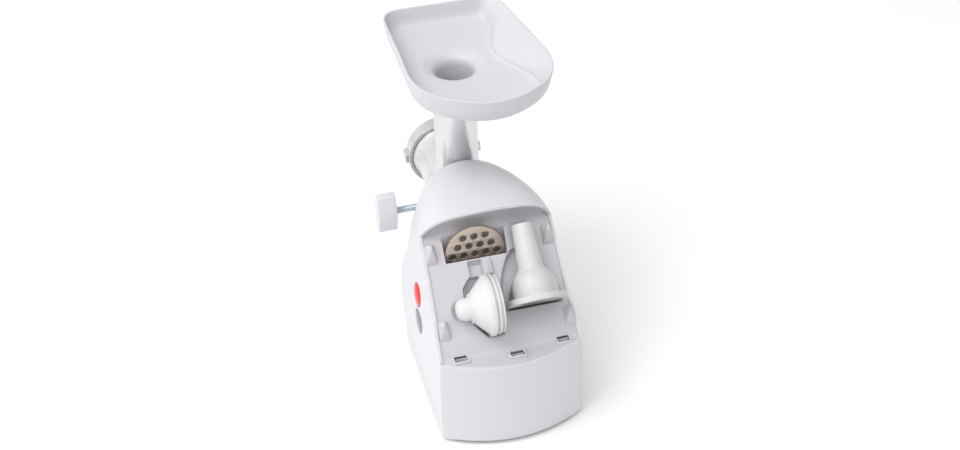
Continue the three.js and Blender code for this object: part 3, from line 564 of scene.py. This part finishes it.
def panel_height(x, s):
    """How far the bay's surface stands above the sloping panel's plane, before the slot is cut."""
    deep = trough(x - TUBE_X, s, *TUBE_TROUGH, TUBE_H)
    deep = soft_floor(deep, 1.1) * ease((s + 1) / 5) * ease((91.6 - s) / 1.6)
    away = outline_distance(x, s, TUBE_HOLLOW, [8, 14, 10, 2.5, 1, 1])
    deep = np.maximum(deep, HOLLOW_DEPTH * ease(-away / 3.5))
    cone = trough(s - CONE_S, x, *CONE_TROUGH, CONE_H)
    deep = np.maximum(deep, soft_floor(cone, 0.8) * ease((x - 2.5) / 1.4))
    away = outline_distance(x, s, CONE_NOTCH, [1.5, 3, 3, 3, 2, 1.5])
    deep = np.maximum(deep, NOTCH_DEPTH * ease(-away / 2.2))
    away = outline_distance(x, s, CHANNEL, 1.5)
    deep = np.maximum(deep, HOLLOW_DEPTH * ease(-away / 1.6))
    away = outline_distance(x, s, RIB, 0.8)
    return RIB_HEIGHT * ease(0.5 - away / 1.2) - deep


def inner_half_width(y, z):
    """Half the room between the housing's walls at a place in (y, z)."""
    width, reach, square = level_at(min(z, DOME_TOP_Z - 0.5))
    if y <= WIDEST_Y:
        share = min(1, (WIDEST_Y - y) / (reach - BAY_INSET))
        return (width - BAY_INSET) * (1 - share ** square) ** (1 / square)
    rear_y = rear_corner_y(z, BAY_INSET)
    t = min(1, (y - WIDEST_Y) / (rear_y - WIDEST_Y))
    half = width + (rear_half_width(z) - width) * t - BAY_INSET
    if y > rear_y:
        half *= math.sqrt(max(0, 1 - (y - rear_y) / REAR_BULGE))
    return half


def bay_path():
    """The bay's middle line in (y, z): down the arch wall, down the panel and along the ledge."""
    foot = on_panel(-8.5, 0)
    ledge_top = LEDGE_Z - 0.6
    ledge = on_panel(PANEL_LENGTH + 0.9, 0)
    rear = rear_corner_y(LEDGE_Z, BAY_INSET) + REAR_BULGE - 0.3
    arch = (foot[0] + 12.4, foot[1] + 24)
    corners = [arch, foot, (ledge[0], ledge_top), (rear, ledge_top)]
    line = np.array(soften(corners, [0, 7, 5, 0], 8))
    steps = np.hypot(*np.diff(line, axis=0).T)
    along = np.concatenate([[0], np.cumsum(steps)])
    places = np.arange(0, along[-1], 0.95)
    return np.stack([np.interp(places, along, line[:, k]) for k in (0, 1)], 1)


# The fins that the cover sits on: a letter, the middle in (x, s) and the height.
FINS = [("a", 63.5, 19, 13), ("b", -63.5, 19, 13), ("c", 65.5, 99, 11), ("d", -69, 108, 8)]
# The cover's slots in the ledge, each from x to x and from y to y.
LEDGE_SLOTS = [(47, 61, 110.5, 118.5), (-12, 3, 117, 126), (-63, -50, 110.5, 118.5)]


def storage_bay():
    path = bay_path()
    columns = 190
    across = np.linspace(-1, 1, columns)
    sin, cos = math.sin(SLOPE), math.cos(SLOPE)
    tangent = np.gradient(path, axis=0)
    tangent /= np.linalg.norm(tangent, axis=1, keepdims=True)
    outward = np.stack([-tangent[:, 1], tangent[:, 0]], 1)
    widths = np.array([inner_half_width(y, z) for y, z in path])
    x = widths[:, None] * across[None, :]
    from_top = path - np.array(PANEL_TOP)
    s = (from_top[:, 0] * cos - from_top[:, 1] * sin)[:, None] + np.zeros_like(x)
    h_line = (from_top[:, 0] * sin + from_top[:, 1] * cos)[:, None]
    height = panel_height(x, s) * ease(1 - np.abs(h_line) / 2.5)
    y = path[:, 0][:, None] + outward[:, 0][:, None] * height
    z = path[:, 1][:, None] + outward[:, 1][:, None] * height
    rows = len(path)
    points = np.stack([x, y, z], -1).reshape(-1, 3)
    in_slot = outline_distance(x, s, PLATE_SLOT, 1.0)
    faces = []
    for r in range(rows - 1):
        for c in range(columns - 1):
            if in_slot[r, c] < 0.2 and in_slot[r + 1, c + 1] < 0.2 and abs(h_line[r, 0]) < 2:
                continue
            if widths[r] > 1:
                a = r * columns + c
                faces.append((a, a + columns, a + columns + 1, a + 1))
    bay = to_object("storage_bay_moulding", points, faces, 60)
    form = bmesh.new()
    form.from_mesh(bay.data)
    loose = [v for v in form.verts if not v.link_faces]
    bmesh.ops.delete(form, geom=loose, context="VERTS")
    form.to_mesh(bay.data)
    form.free()
    if sum(p.normal.z for p in bay.data.polygons) < 0:
        bay.data.flip_normals()
    thick = bay.modifiers.new("wall", "SOLIDIFY")
    thick.thickness = 2.0 * MM
    thick.offset = -1
    apply_modifiers(bay)
    for x0, x1, y0, y1 in LEDGE_SLOTS:
        combine(bay, block((x0, y0, LEDGE_Z - 9), (x1, y1, LEDGE_Z + 3)), "DIFFERENCE")
    tidy(bay, 50)
    # The bay takes the darker plastic, whose darkness is partly painted shade for the recess.
    return piece(bay, "housing", BAY_PLASTIC_WITH_PAINTED_SHADE, "white_gloss", "storage_tray")


def slot_box():
    """The pocket that holds the spare plate, open at its top."""
    upper_front = on_panel(1.6, -0.3)
    upper_rear = on_panel(31.3, -0.3)
    floor_z = 136
    corners = [
        upper_front, (upper_front[0] + 0.6, floor_z), (upper_front[0] + 17, floor_z),
        (upper_rear[0], 160), upper_rear,
    ]
    line = soften(corners, 2, 4)
    x0, x1 = -18.9, 49.9
    points = [(x, y, z) for x in (x0, x1) for y, z in line]
    count = len(line)
    faces = [(k, k + 1, count + k + 1, count + k) for k in range(count - 1)]
    faces += [tuple(range(count)), tuple(count + k for k in reversed(range(count)))]
    box = to_object("plate_pocket", points, faces)
    thick = box.modifiers.new("wall", "SOLIDIFY")
    thick.thickness = 1.2 * MM
    thick.offset = 1
    apply_modifiers(box)
    tidy(box, 40)
    return piece(box, "housing", BAY_PLASTIC_WITH_PAINTED_SHADE, "white_gloss")


def wedge_fin(name, x, s, tall):
    """One of the pointed fins under the bay's lid, from corners in (half width, s, height)."""
    corners = [
        (6.5, -10, -1.5), (7.5, 12, -1.5), (1.2, -9, tall - 2), (1.6, -4, tall),
        (2.6, 6, tall * 0.4),
    ]
    form = bmesh.new()
    for half, along, height in corners:
        for side in (-1, 1):
            place = Vector(from_panel(x + side * half, s + along, height)) * MM + SHIFT
            form.verts.new(place)
    bmesh.ops.convex_hull(form, input=form.verts)
    mesh = bpy.data.meshes.new(name)
    form.to_mesh(mesh)
    form.free()
    fin = bpy.data.objects.new(name, mesh)
    bpy.context.scene.collection.objects.link(fin)
    tidy(fin, 30)
    round_edges(fin, 1.3, 4, 12, 60)
    return piece(fin, "housing", BAY_PLASTIC_WITH_PAINTED_SHADE, "white_gloss")


def slot_frames():
    """The lid slots in the ledge, each a small box with a raised lip."""
    lip_wall = 1.5
    for i, (x0, x1, y0, y1) in enumerate(LEDGE_SLOTS):
        low = (x0 - lip_wall, y0 - lip_wall, LEDGE_Z - 6 - lip_wall)
        high = (x1 + lip_wall, y1 + lip_wall, LEDGE_Z + 2.6)
        lip = block(low, high)
        combine(lip, block((x0, y0, LEDGE_Z - 6), (x1, y1, LEDGE_Z + 9)), "DIFFERENCE")
        lip.name = f"lid_slot_lip_{i + 1}"
        round_edges(lip, 0.5, 3, 30, 40)
        piece(lip, "housing", GLOSS, "white_gloss")


# ---- Base, feet, buttons and lock -----------------------------------------------------------


def node_copy(node, name):
    """A new object with a copy of a CAD node's mesh, its flat faces joined up."""
    obj = bpy.data.objects.new(name, frame["nodes"][node].data.copy())
    bpy.context.scene.collection.objects.link(obj)
    form = bmesh.new()
    form.from_mesh(obj.data)
    bmesh.ops.remove_doubles(form, verts=form.verts, dist=1e-5)
    bmesh.ops.dissolve_limit(form, angle_limit=math.radians(1), verts=form.verts, edges=form.edges)
    form.to_mesh(obj.data)
    form.free()
    custom = obj.data.attributes.get("custom_normal")
    if custom:
        obj.data.attributes.remove(custom)
    return obj


def base_plate():
    plate = node_copy("base_plate", "base_plate_moulding")
    round_edges(plate, 0.4, 2, 40, 40)
    piece(plate, "housing", BAY_PLASTIC_WITH_PAINTED_SHADE, "white_inner", "base_plate")


def feet():
    for i in range(1, 5):
        node = f"foot_{i}"
        place = (middle(node) - SHIFT) / MM
        profile = [(0, 0), (7.8, 0), (10, 1.6), (10, 5.7), (3, 5.7), (3, 12), (0, 12)]
        foot = revolve(f"{node}_moulding", "z", (place.x, place.y), profile, 0.5, 64)
        piece(foot, "housing", RUBBER, "rubber_foot", node)


def buttons():
    looks = {"start": (RED, "red_button"), "reverse": (MAUVE, "mauve_button")}
    for name, (y, z) in BUTTONS.items():
        face = SIDE_X - (z - FOOT_HEIGHT) * SIDE_DRAFT
        profile = [
            (0, face - 8.8), (3, face - 8.8), (3, face - 4), (13.3, face - 4), (13.3, face + 0.6),
            (11.9, face + 3.2), (7.4, face + 5.2), (0, face + 5.7),
        ]
        material, slot = looks[name]
        corners = [0, 0.5, 0.5, 0.5, 1.6, 3, 4, 0]
        dome = revolve(f"{name}_button_cap", "x", (y, z), profile, corners, 96)
        piece(dome, f"{name}_key", material, slot, f"{name}_button")


def lock_knob():
    wide, tall = 11.5, 23.0
    outline = [
        (-wide, -4), (-5, -tall), (5, -tall), (wide, -4), (wide, 4), (5, tall), (-5, tall),
        (-wide, 4),
    ]
    outline = [(LOCK_Y + y, LOCK_Z + z) for y, z in outline]
    knob = prism_x("lock_knob_moulding", outline, 78, 99)
    round_edges(knob, 1.6, 5, 20, 45)
    combine(knob, rod("x", (LOCK_Y, LOCK_Z), 4.3, 70, 91), "DIFFERENCE")
    tidy(knob, 40)
    piece(knob, "lock_handle", GLOSS, "white_gloss", "lock_knob")


def lock_screw():
    """A bar with a helical thread along the part that goes into the housing."""
    pitch, around, start, end = 1.5, 48, 33.3, 90.0
    thread_end, thread_fade, ridge_height, bar_radius = 78, 1.5, 0.45, 3.95
    rows = int((end - start) / pitch * 8)
    line = np.linspace(start, end, rows)
    points = []
    for along in line:
        for k in range(around):
            turn = 2 * math.pi * k / around
            phase = (along / pitch + k / around) % 1
            ridge = ridge_height * abs(2 * phase - 1)
            fade_in = min(1, max(0, (along - start) / thread_fade))
            fade_out = min(1, max(0, (thread_end - along) / thread_fade))
            radius = bar_radius - ridge * (fade_in * fade_out)
            points.append((
                along, LOCK_Y + radius * math.cos(turn), LOCK_Z + radius * math.sin(turn)))
    faces = rings_to_faces(rows, around, cap_start=True, cap_end=True)
    screw = to_object("lock_screw_thread", points, faces, 50)
    piece(screw, "lock_handle", ZINC, "zinc_steel", "lock_screw")


def cord_gland():
    profile = [(3.5, -84), (5.4, -84), (6.9, -82.4), (6.9, -70), (3.5, -70)]
    gland = revolve("cord_inlet_gland", "x", GLAND, profile, 0.5, 64, closed=True)
    piece(gland, "housing", BLACK, "black_plastic", "cord_gland")


# ---- Grinding head --------------------------------------------------------------------------


def grinder_head():
    barrel = revolve("grinder_head_casting", "y", (0, HEAD_Z), [
        (0, -56), (27.6, -56), (27.6, -80), (33, -81.5), (33, -150), (34.4, -158), (36.6, -164),
        (36.6, -177), (0, -177),
    ], [0, 0.5, 0.5, 1, 8, 4, 2, 0.8, 0], 128)
    chute = revolve("chute", "z", (0, CHUTE_Y), [
        (0, HEAD_Z), (26, HEAD_Z), (26, 196), (24.4, 204), (24, 216), (24, 315.6), (0, 315.6),
    ], [0, 0, 0, 8, 8, 0.8, 0], 128)
    combine(barrel, chute, "UNION")
    bore = revolve("bore", "y", (0, HEAD_Z), [
        (0, -50), (14, -50), (14, -82), (26.5, -82), (26.5, -171.5), (32.9, -171.5), (32.9, -180),
        (0, -180),
    ], 0, 96)
    combine(barrel, bore, "DIFFERENCE")
    combine(barrel, rod("z", (0, CHUTE_Y), 21.4, HEAD_Z, 320, 96), "DIFFERENCE")
    tidy(barrel, 32)
    return piece(barrel, "head", CAST, "cast_aluminium", "grinder_head")


def socket_collar():
    collar = revolve("socket_collar_turned", "y", (0, HEAD_Z), [
        (28.1, -79.4), (36.4, -79.4), (36.4, -77.6), (32.8, -77.6), (32.8, -54), (28.1, -54),
    ], 0.5, 128, closed=True)
    combine(collar, rod("x", (LOCK_Y, LOCK_Z), 4.4, 20, 60), "DIFFERENCE")
    combine(collar, rod("z", (0, CHUTE_Y), 26.8, HEAD_Z, 230, 96), "DIFFERENCE")
    tidy(collar, 35)
    piece(collar, "housing", TURNED, "cast_aluminium", "socket_collar")


def ring_nut():
    lug_count, lug_rise = 4, 3.9
    lug_start, lug_end = -181.4, -166.4
    smooth_radius = 38.8

    def lug(turn, radius, along):
        if radius < smooth_radius or not lug_start - 0.1 < along < lug_end + 0.1:
            return 0
        from_lug = abs((turn * lug_count / (2 * math.pi) + 0.5) % 1 - 0.5)
        return lug_rise * float(ease((0.095 - from_lug) / 0.035))

    rows = [(41, along) for along in np.linspace(lug_end, lug_start, 9)]
    profile = [
        (37, -165), (41, -165), *rows, (41, -182), (39.4, -183), (30, -183), (29, -182.2),
        (29, -180),
        (37, -180),
    ]
    nut = revolve(
        "ring_nut_casting", "y", (0, HEAD_Z), profile, 0.35, 256, closed=True, swell=lug, crease=40)
    piece(nut, "nut", TURNED, "cast_aluminium", "ring_nut")


PLATE_RADIUS = 32.2
PLATE_HOLE_RADIUS = 4.2
PLATE_PITCH = 12.0
PLATE_EDGE = 0.3
FRONT_PLATE_Y, FRONT_PLATE_THICK = -175.7, 7
STORED_PLACE, STORED_LEAN, STORED_PLATE_THICK = (15.5, 29.6, 174.5), 0.13, 5


def circle(count, radius, u=0.0, v=0.0):
    turns = [2 * math.pi * k / count for k in range(count)]
    return [(u + radius * math.cos(t), v + radius * math.sin(t)) for t in turns]


def grinding_disc(name, thick):
    """A round plate with holes on a hexagonal pitch, every edge lightly broken."""
    curve = bpy.data.curves.new(name, "CURVE")
    curve.dimensions = "2D"
    curve.fill_mode = "BOTH"
    curve.extrude = (thick / 2 - PLATE_EDGE) * MM
    curve.bevel_depth = PLATE_EDGE * MM
    curve.bevel_resolution = 2
    outlines = [circle(128, PLATE_RADIUS)]
    furthest = 26
    for row in range(-2, 3):
        for column in range(-3, 4):
            u, v = (column + row / 2) * PLATE_PITCH, row * PLATE_PITCH * math.sqrt(3) / 2
            if math.hypot(u, v) < furthest:
                outlines.append(circle(32, PLATE_HOLE_RADIUS, u, v))
    for outline in outlines:
        spline = curve.splines.new("POLY")
        spline.points.add(len(outline) - 1)
        spline.use_cyclic_u = True
        for point, (u, v) in zip(spline.points, outline):
            point.co = (u * MM, v * MM, 0, 1)
    source = bpy.data.objects.new(name + "_curve", curve)
    bpy.context.scene.collection.objects.link(source)
    graph = bpy.context.evaluated_depsgraph_get()
    mesh = bpy.data.meshes.new_from_object(source.evaluated_get(graph))
    bpy.data.objects.remove(source)
    disc = bpy.data.objects.new(name, mesh)
    bpy.context.scene.collection.objects.link(disc)
    return disc


def plates():
    upright = Matrix.Rotation(math.pi / 2, 4, "X")
    front = grinding_disc("front_grinding_plate", FRONT_PLATE_THICK)
    place = Matrix.Translation(Vector((0, FRONT_PLATE_Y, HEAD_Z)) * MM + SHIFT)
    front.data.transform(place @ upright)
    tidy(front)
    piece(front, "front_plate", PLATE, "steel", "grinding_plate")
    spare = grinding_disc("spare_grinding_plate", STORED_PLATE_THICK)
    place = Matrix.Translation(Vector(STORED_PLACE) * MM + SHIFT)
    spare.data.transform(place @ Matrix.Rotation(STORED_LEAN, 4, "X") @ upright)
    tidy(spare)
    piece(spare, "spare_plate", PLATE, "steel", "stored_plate")


# ---- Hopper tray ----------------------------------------------------------------------------

# The rim's corners in (x, y), each with its rounding.
HOPPER_RIM = [(59, -196, 24), (-74, -197, 26), (-99, -22, 55), (-20, 27, 48), (60, -18, 45)]
HOPPER_BOTTOM_Z = 316.0
HOPPER_RIM_Z = 348.0
HOPPER_WALL = 2.5
HOPPER_HOLE = np.array((0, CHUTE_Y))
# The floor ends at a crease on the -X side, and the wall slopes gently up from there.
CREASE = ((-64.9, -190.7), (-49.2, -115.1), (-69.4, -52.8))
CREASE_BLEND = 13
# How near the feed hole's rounded edge the floor may begin.
FUNNEL_REACH = 36


def even_outline(corners, count):
    line = soften([(u, v) for u, v, _ in corners], [r for *_, r in corners], 24, closed=True)
    line = np.array(line + [line[0]])
    along = np.concatenate([[0], np.cumsum(np.hypot(*np.diff(line, axis=0).T))])
    places = np.linspace(0, along[-1], count, endpoint=False)
    return np.stack([np.interp(places, along, line[:, k]) for k in (0, 1)], 1)


def floor_share(direction, reach):
    """How much of the way to the rim the floor goes, in one direction from the feed hole."""
    share = 1.0
    for first, second in zip(CREASE, CREASE[1:]):
        a, b = np.array(first) - HOPPER_HOLE, np.array(second) - HOPPER_HOLE
        edge = b - a
        cross = direction[0] * edge[1] - direction[1] * edge[0]
        if abs(cross) < 1e-6:
            continue
        t = (a[0] * edge[1] - a[1] * edge[0]) / cross
        u = (a[0] * direction[1] - a[1] * direction[0]) / cross
        if t > 0 and -0.35 < u < 1.35:
            share = min(share, t / reach)
    return share


def hopper_tray():
    """A tray lofted around the feed hole, from one cross-section in each direction."""
    rim = even_outline(HOPPER_RIM, 240)
    away = rim - HOPPER_HOLE
    reaches = np.linalg.norm(away, axis=1)
    directions = away / reaches[:, None]
    shares = np.array([floor_share(d, r) for d, r in zip(directions, reaches)])
    window = np.concatenate([shares[-CREASE_BLEND:], shares, shares[:CREASE_BLEND]])
    kernel = np.ones(2 * CREASE_BLEND + 1) / (2 * CREASE_BLEND + 1)
    shares = np.minimum(np.convolve(window, kernel, "valid"), 1.0)
    wall, base, rim_z = HOPPER_WALL, HOPPER_BOTTOM_Z, HOPPER_RIM_Z - 0.2
    # Share of the way to the rim, whether the crease limits it, length added, height, rounding.
    stations = [
        (0, False, 26, base, 1), (0.9, False, 0, base + 1.5, 9), (0.965, False, 0, base + 11, 8),
        (1, False, 0, rim_z, 1.1), (1, False, -wall, rim_z, 1.1),
        (0.955, True, -wall, base + 16, 9), (0.88, True, -wall, base + 10.5, 13),
        (0.5, True, 0, base + 10, 10), (0, False, 32, base + 9.6, 9), (0, False, 20.5, base + 3, 8),
        (0, False, 18.8, base - 27, 0.6), (0, False, 20.5, base - 27, 0.6),
        (0, False, 20.9, base, 0.6),
    ]
    roundings = [rounding for *_, rounding in stations]
    sections = []
    for reach, direction, share in zip(reaches, directions, shares):
        section = []
        for along, creased, added, z, _ in stations:
            out = along * reach + added
            if creased and share < 0.97:
                out = min(out, out * (share + 0.06) if along > 0.9 else share * reach * along / 0.9)
            if creased:
                out = max(out, FUNNEL_REACH)
            section.append((out, z))
        line = soften(section, roundings, 7, closed=True)
        sections.append([(*(HOPPER_HOLE + direction * out), z) for out, z in line])
    rings = len(sections[0])
    points = [section[ring] for ring in range(rings) for section in sections]
    faces = rings_to_faces(rings, len(sections), closed_rows=True)
    tray = to_object("hopper_tray_moulding", points, faces, 45)
    piece(tray, "hopper", TRAY, "tray_plastic", "hopper_tray")


# ---- Stored accessories ---------------------------------------------------------------------


def into_panel(obj):
    """Carries a piece built in the bay's own axes onto the sloping panel."""
    cos, sin = math.cos(SLOPE), math.sin(SLOPE)
    basis = Matrix((
        (1, 0, 0, 0), (0, cos, sin, PANEL_TOP[0] * MM), (0, -sin, cos, PANEL_TOP[1] * MM),
        (0, 0, 0, 1)))
    lift = Matrix.Translation(SHIFT)
    obj.data.transform(lift @ basis @ lift.inverted())
    return obj


def sausage_tube():
    tube = revolve("filling_tube_moulding", "y", (TUBE_X, TUBE_H), [
        (9.2, 5.6), (11, 5.6), (13.4, 50), (14.2, 54), (18.6, 58.5), (22.2, 65), (23.9, 73),
        (24.2, 83),
        (32.5, 83), (32.5, 89), (22, 89), (22, 72), (19, 64), (13.5, 57), (11.6, 54),
    ], [0.7, 0.7, 6, 3, 4, 5, 5, 1.2, 0.6, 0.6, 1, 3, 3, 1, 1], 128, closed=True)
    into_panel(tube)
    piece(tube, "filling_tube", TUBE, "tube_plastic", "sausage_tube")


def forming_cone():
    # Radius, place along the axis, rounding: the nose, the cone, its rings and its hollow back.
    profile = [
        (0, 51, 0), (6, 50.6, 4), (10.6, 47.5, 4), (12, 42, 3), (12, 36.6, 0.5), (15.8, 36, 0.5),
        (15.8, 33.6, 0.5), (17.4, 32.6, 0.5), (30.2, 19.6, 0.5), (32.4, 19, 0.5), (32.4, 14.4, 0.5),
        (29, 14, 0.4), (29, 12.4, 0.4), (31.6, 12, 0.4), (31.6, 9.6, 0.4), (28.6, 9.2, 0.4),
        (28.6, 7.6, 0.4), (30.6, 7.2, 0.4), (30.6, 5.5, 0.4), (20, 5.5, 0.5), (20, 12, 1),
        (12, 28, 1),
        (0, 30, 0),
    ]
    line = [(radius, along) for radius, along, _ in profile]
    corners = [rounding for *_, rounding in profile]
    cone = revolve("forming_cone_moulding", "x", (CONE_S, CONE_H), line, corners, 128)
    into_panel(cone)
    piece(cone, "cone", CONE, "tray_plastic", "forming_cone")


# ---- Inner parts ----------------------------------------------------------------------------


def inner_parts():
    """CAD nodes whose shape is right keep it, and take a better material."""
    looks = {
        "steel": STEEL, "nylon_gear": NYLON, "copper": COPPER, "black_plastic": BLACK,
        "cast_aluminium": CAST, "white_inner": BAY_PLASTIC_WITH_PAINTED_SHADE, "zinc_steel": ZINC,
    }
    slots = {entry["node"]: entry["material_slot"] for entry in frame["record"]["subparts"]}
    for name, obj in frame["nodes"].items():
        if obj.hide_render:
            continue
        obj.data.materials.clear()
        obj.data.materials.append(looks[slots[name]])


# ---- Studio ---------------------------------------------------------------------------------

CAMERA_AT = (290.545, 1103.961, 1076.526)
CAMERA_AZIMUTH = 165.315
CAMERA_ELEVATION = 37.975
CAMERA_ROLL = -1.088
LENS = 51.005


def camera():
    azimuth, elevation, roll = map(math.radians, (CAMERA_AZIMUTH, CAMERA_ELEVATION, CAMERA_ROLL))
    level = math.cos(elevation)
    back = Vector((math.sin(azimuth) * level, -math.cos(azimuth) * level, math.sin(elevation)))
    right = Vector((math.cos(azimuth), math.sin(azimuth), 0))
    up = back.cross(right)
    turned_right = right * math.cos(roll) + up * math.sin(roll)
    turned_up = up * math.cos(roll) - right * math.sin(roll)
    data = bpy.data.cameras.new("camera")
    data.lens = LENS
    data.sensor_width = 36
    data.clip_end = 30
    obj = bpy.data.objects.new("camera", data)
    place = Vector(CAMERA_AT) * MM + SHIFT
    rotation = Matrix((turned_right, turned_up, back)).transposed().to_4x4()
    obj.matrix_world = Matrix.Translation(place) @ rotation
    bpy.context.scene.collection.objects.link(obj)
    bpy.context.scene.camera = obj


def lamp(name, place, aim, size, power):
    data = bpy.data.lights.new(name, "AREA")
    data.size = size
    data.energy = power
    obj = bpy.data.objects.new(name, data)
    obj.location = place
    obj.rotation_euler = (Vector(aim) - Vector(place)).to_track_quat("-Z", "Y").to_euler()
    bpy.context.scene.collection.objects.link(obj)


def studio():
    scene = bpy.context.scene
    scene.view_settings.view_transform = "Standard"
    world = bpy.data.worlds.new("studio")
    world.use_nodes = True
    tree = world.node_tree
    direction = tree.nodes.new("ShaderNodeTexCoord").outputs["Generated"]
    parts = tree.nodes.new("ShaderNodeSeparateXYZ")
    glow = tree.nodes.new("ShaderNodeMapRange")
    glow.inputs["From Min"].default_value = -1
    glow.inputs["To Min"].default_value = 0.3
    glow.inputs["To Max"].default_value = 1.25
    tree.links.new(direction, parts.inputs["Vector"])
    tree.links.new(parts.outputs["X"], glow.inputs["Value"])
    tree.links.new(glow.outputs["Result"], tree.nodes["Background"].inputs["Strength"])
    tree.nodes["Background"].inputs["Color"].default_value = (1, 1, 1, 1)
    scene.world = world
    half = 6.0
    mesh = bpy.data.meshes.new("floor")
    corners = [(-half, -half, 0), (half, -half, 0), (half, half, 0), (-half, half, 0)]
    mesh.from_pydata(corners, [], [(0, 1, 2, 3)])
    floor = bpy.data.objects.new("floor", mesh)
    scene.collection.objects.link(floor)
    surface = Nodes("floor_paper")
    surface.colours(surface.between(surface.noise(2), 0, 1), (0.97, 0.97, 0.97), (0.96, 0.96, 0.96))
    surface.shader.inputs["Roughness"].default_value = 0.9
    mesh.materials.append(surface.material)
    aim = (0, 0.02, 0.18)
    lamp("key", (1.0, 0.3, 2.0), aim, 1.3, 19)
    lamp("top", (-0.5, 0.9, 2.3), aim, 1.5, 11)


def main():
    camera()
    studio()
    housing_shell()
    storage_bay()
    slot_box()
    for name, x, s, tall in FINS:
        wedge_fin(f"lid_fin_{name}", x, s, tall)
    slot_frames()
    base_plate()
    feet()
    buttons()
    lock_knob()
    lock_screw()
    cord_gland()
    grinder_head()
    socket_collar()
    ring_nut()
    plates()
    hopper_tray()
    sausage_tube()
    forming_cone()
    inner_parts()


main()
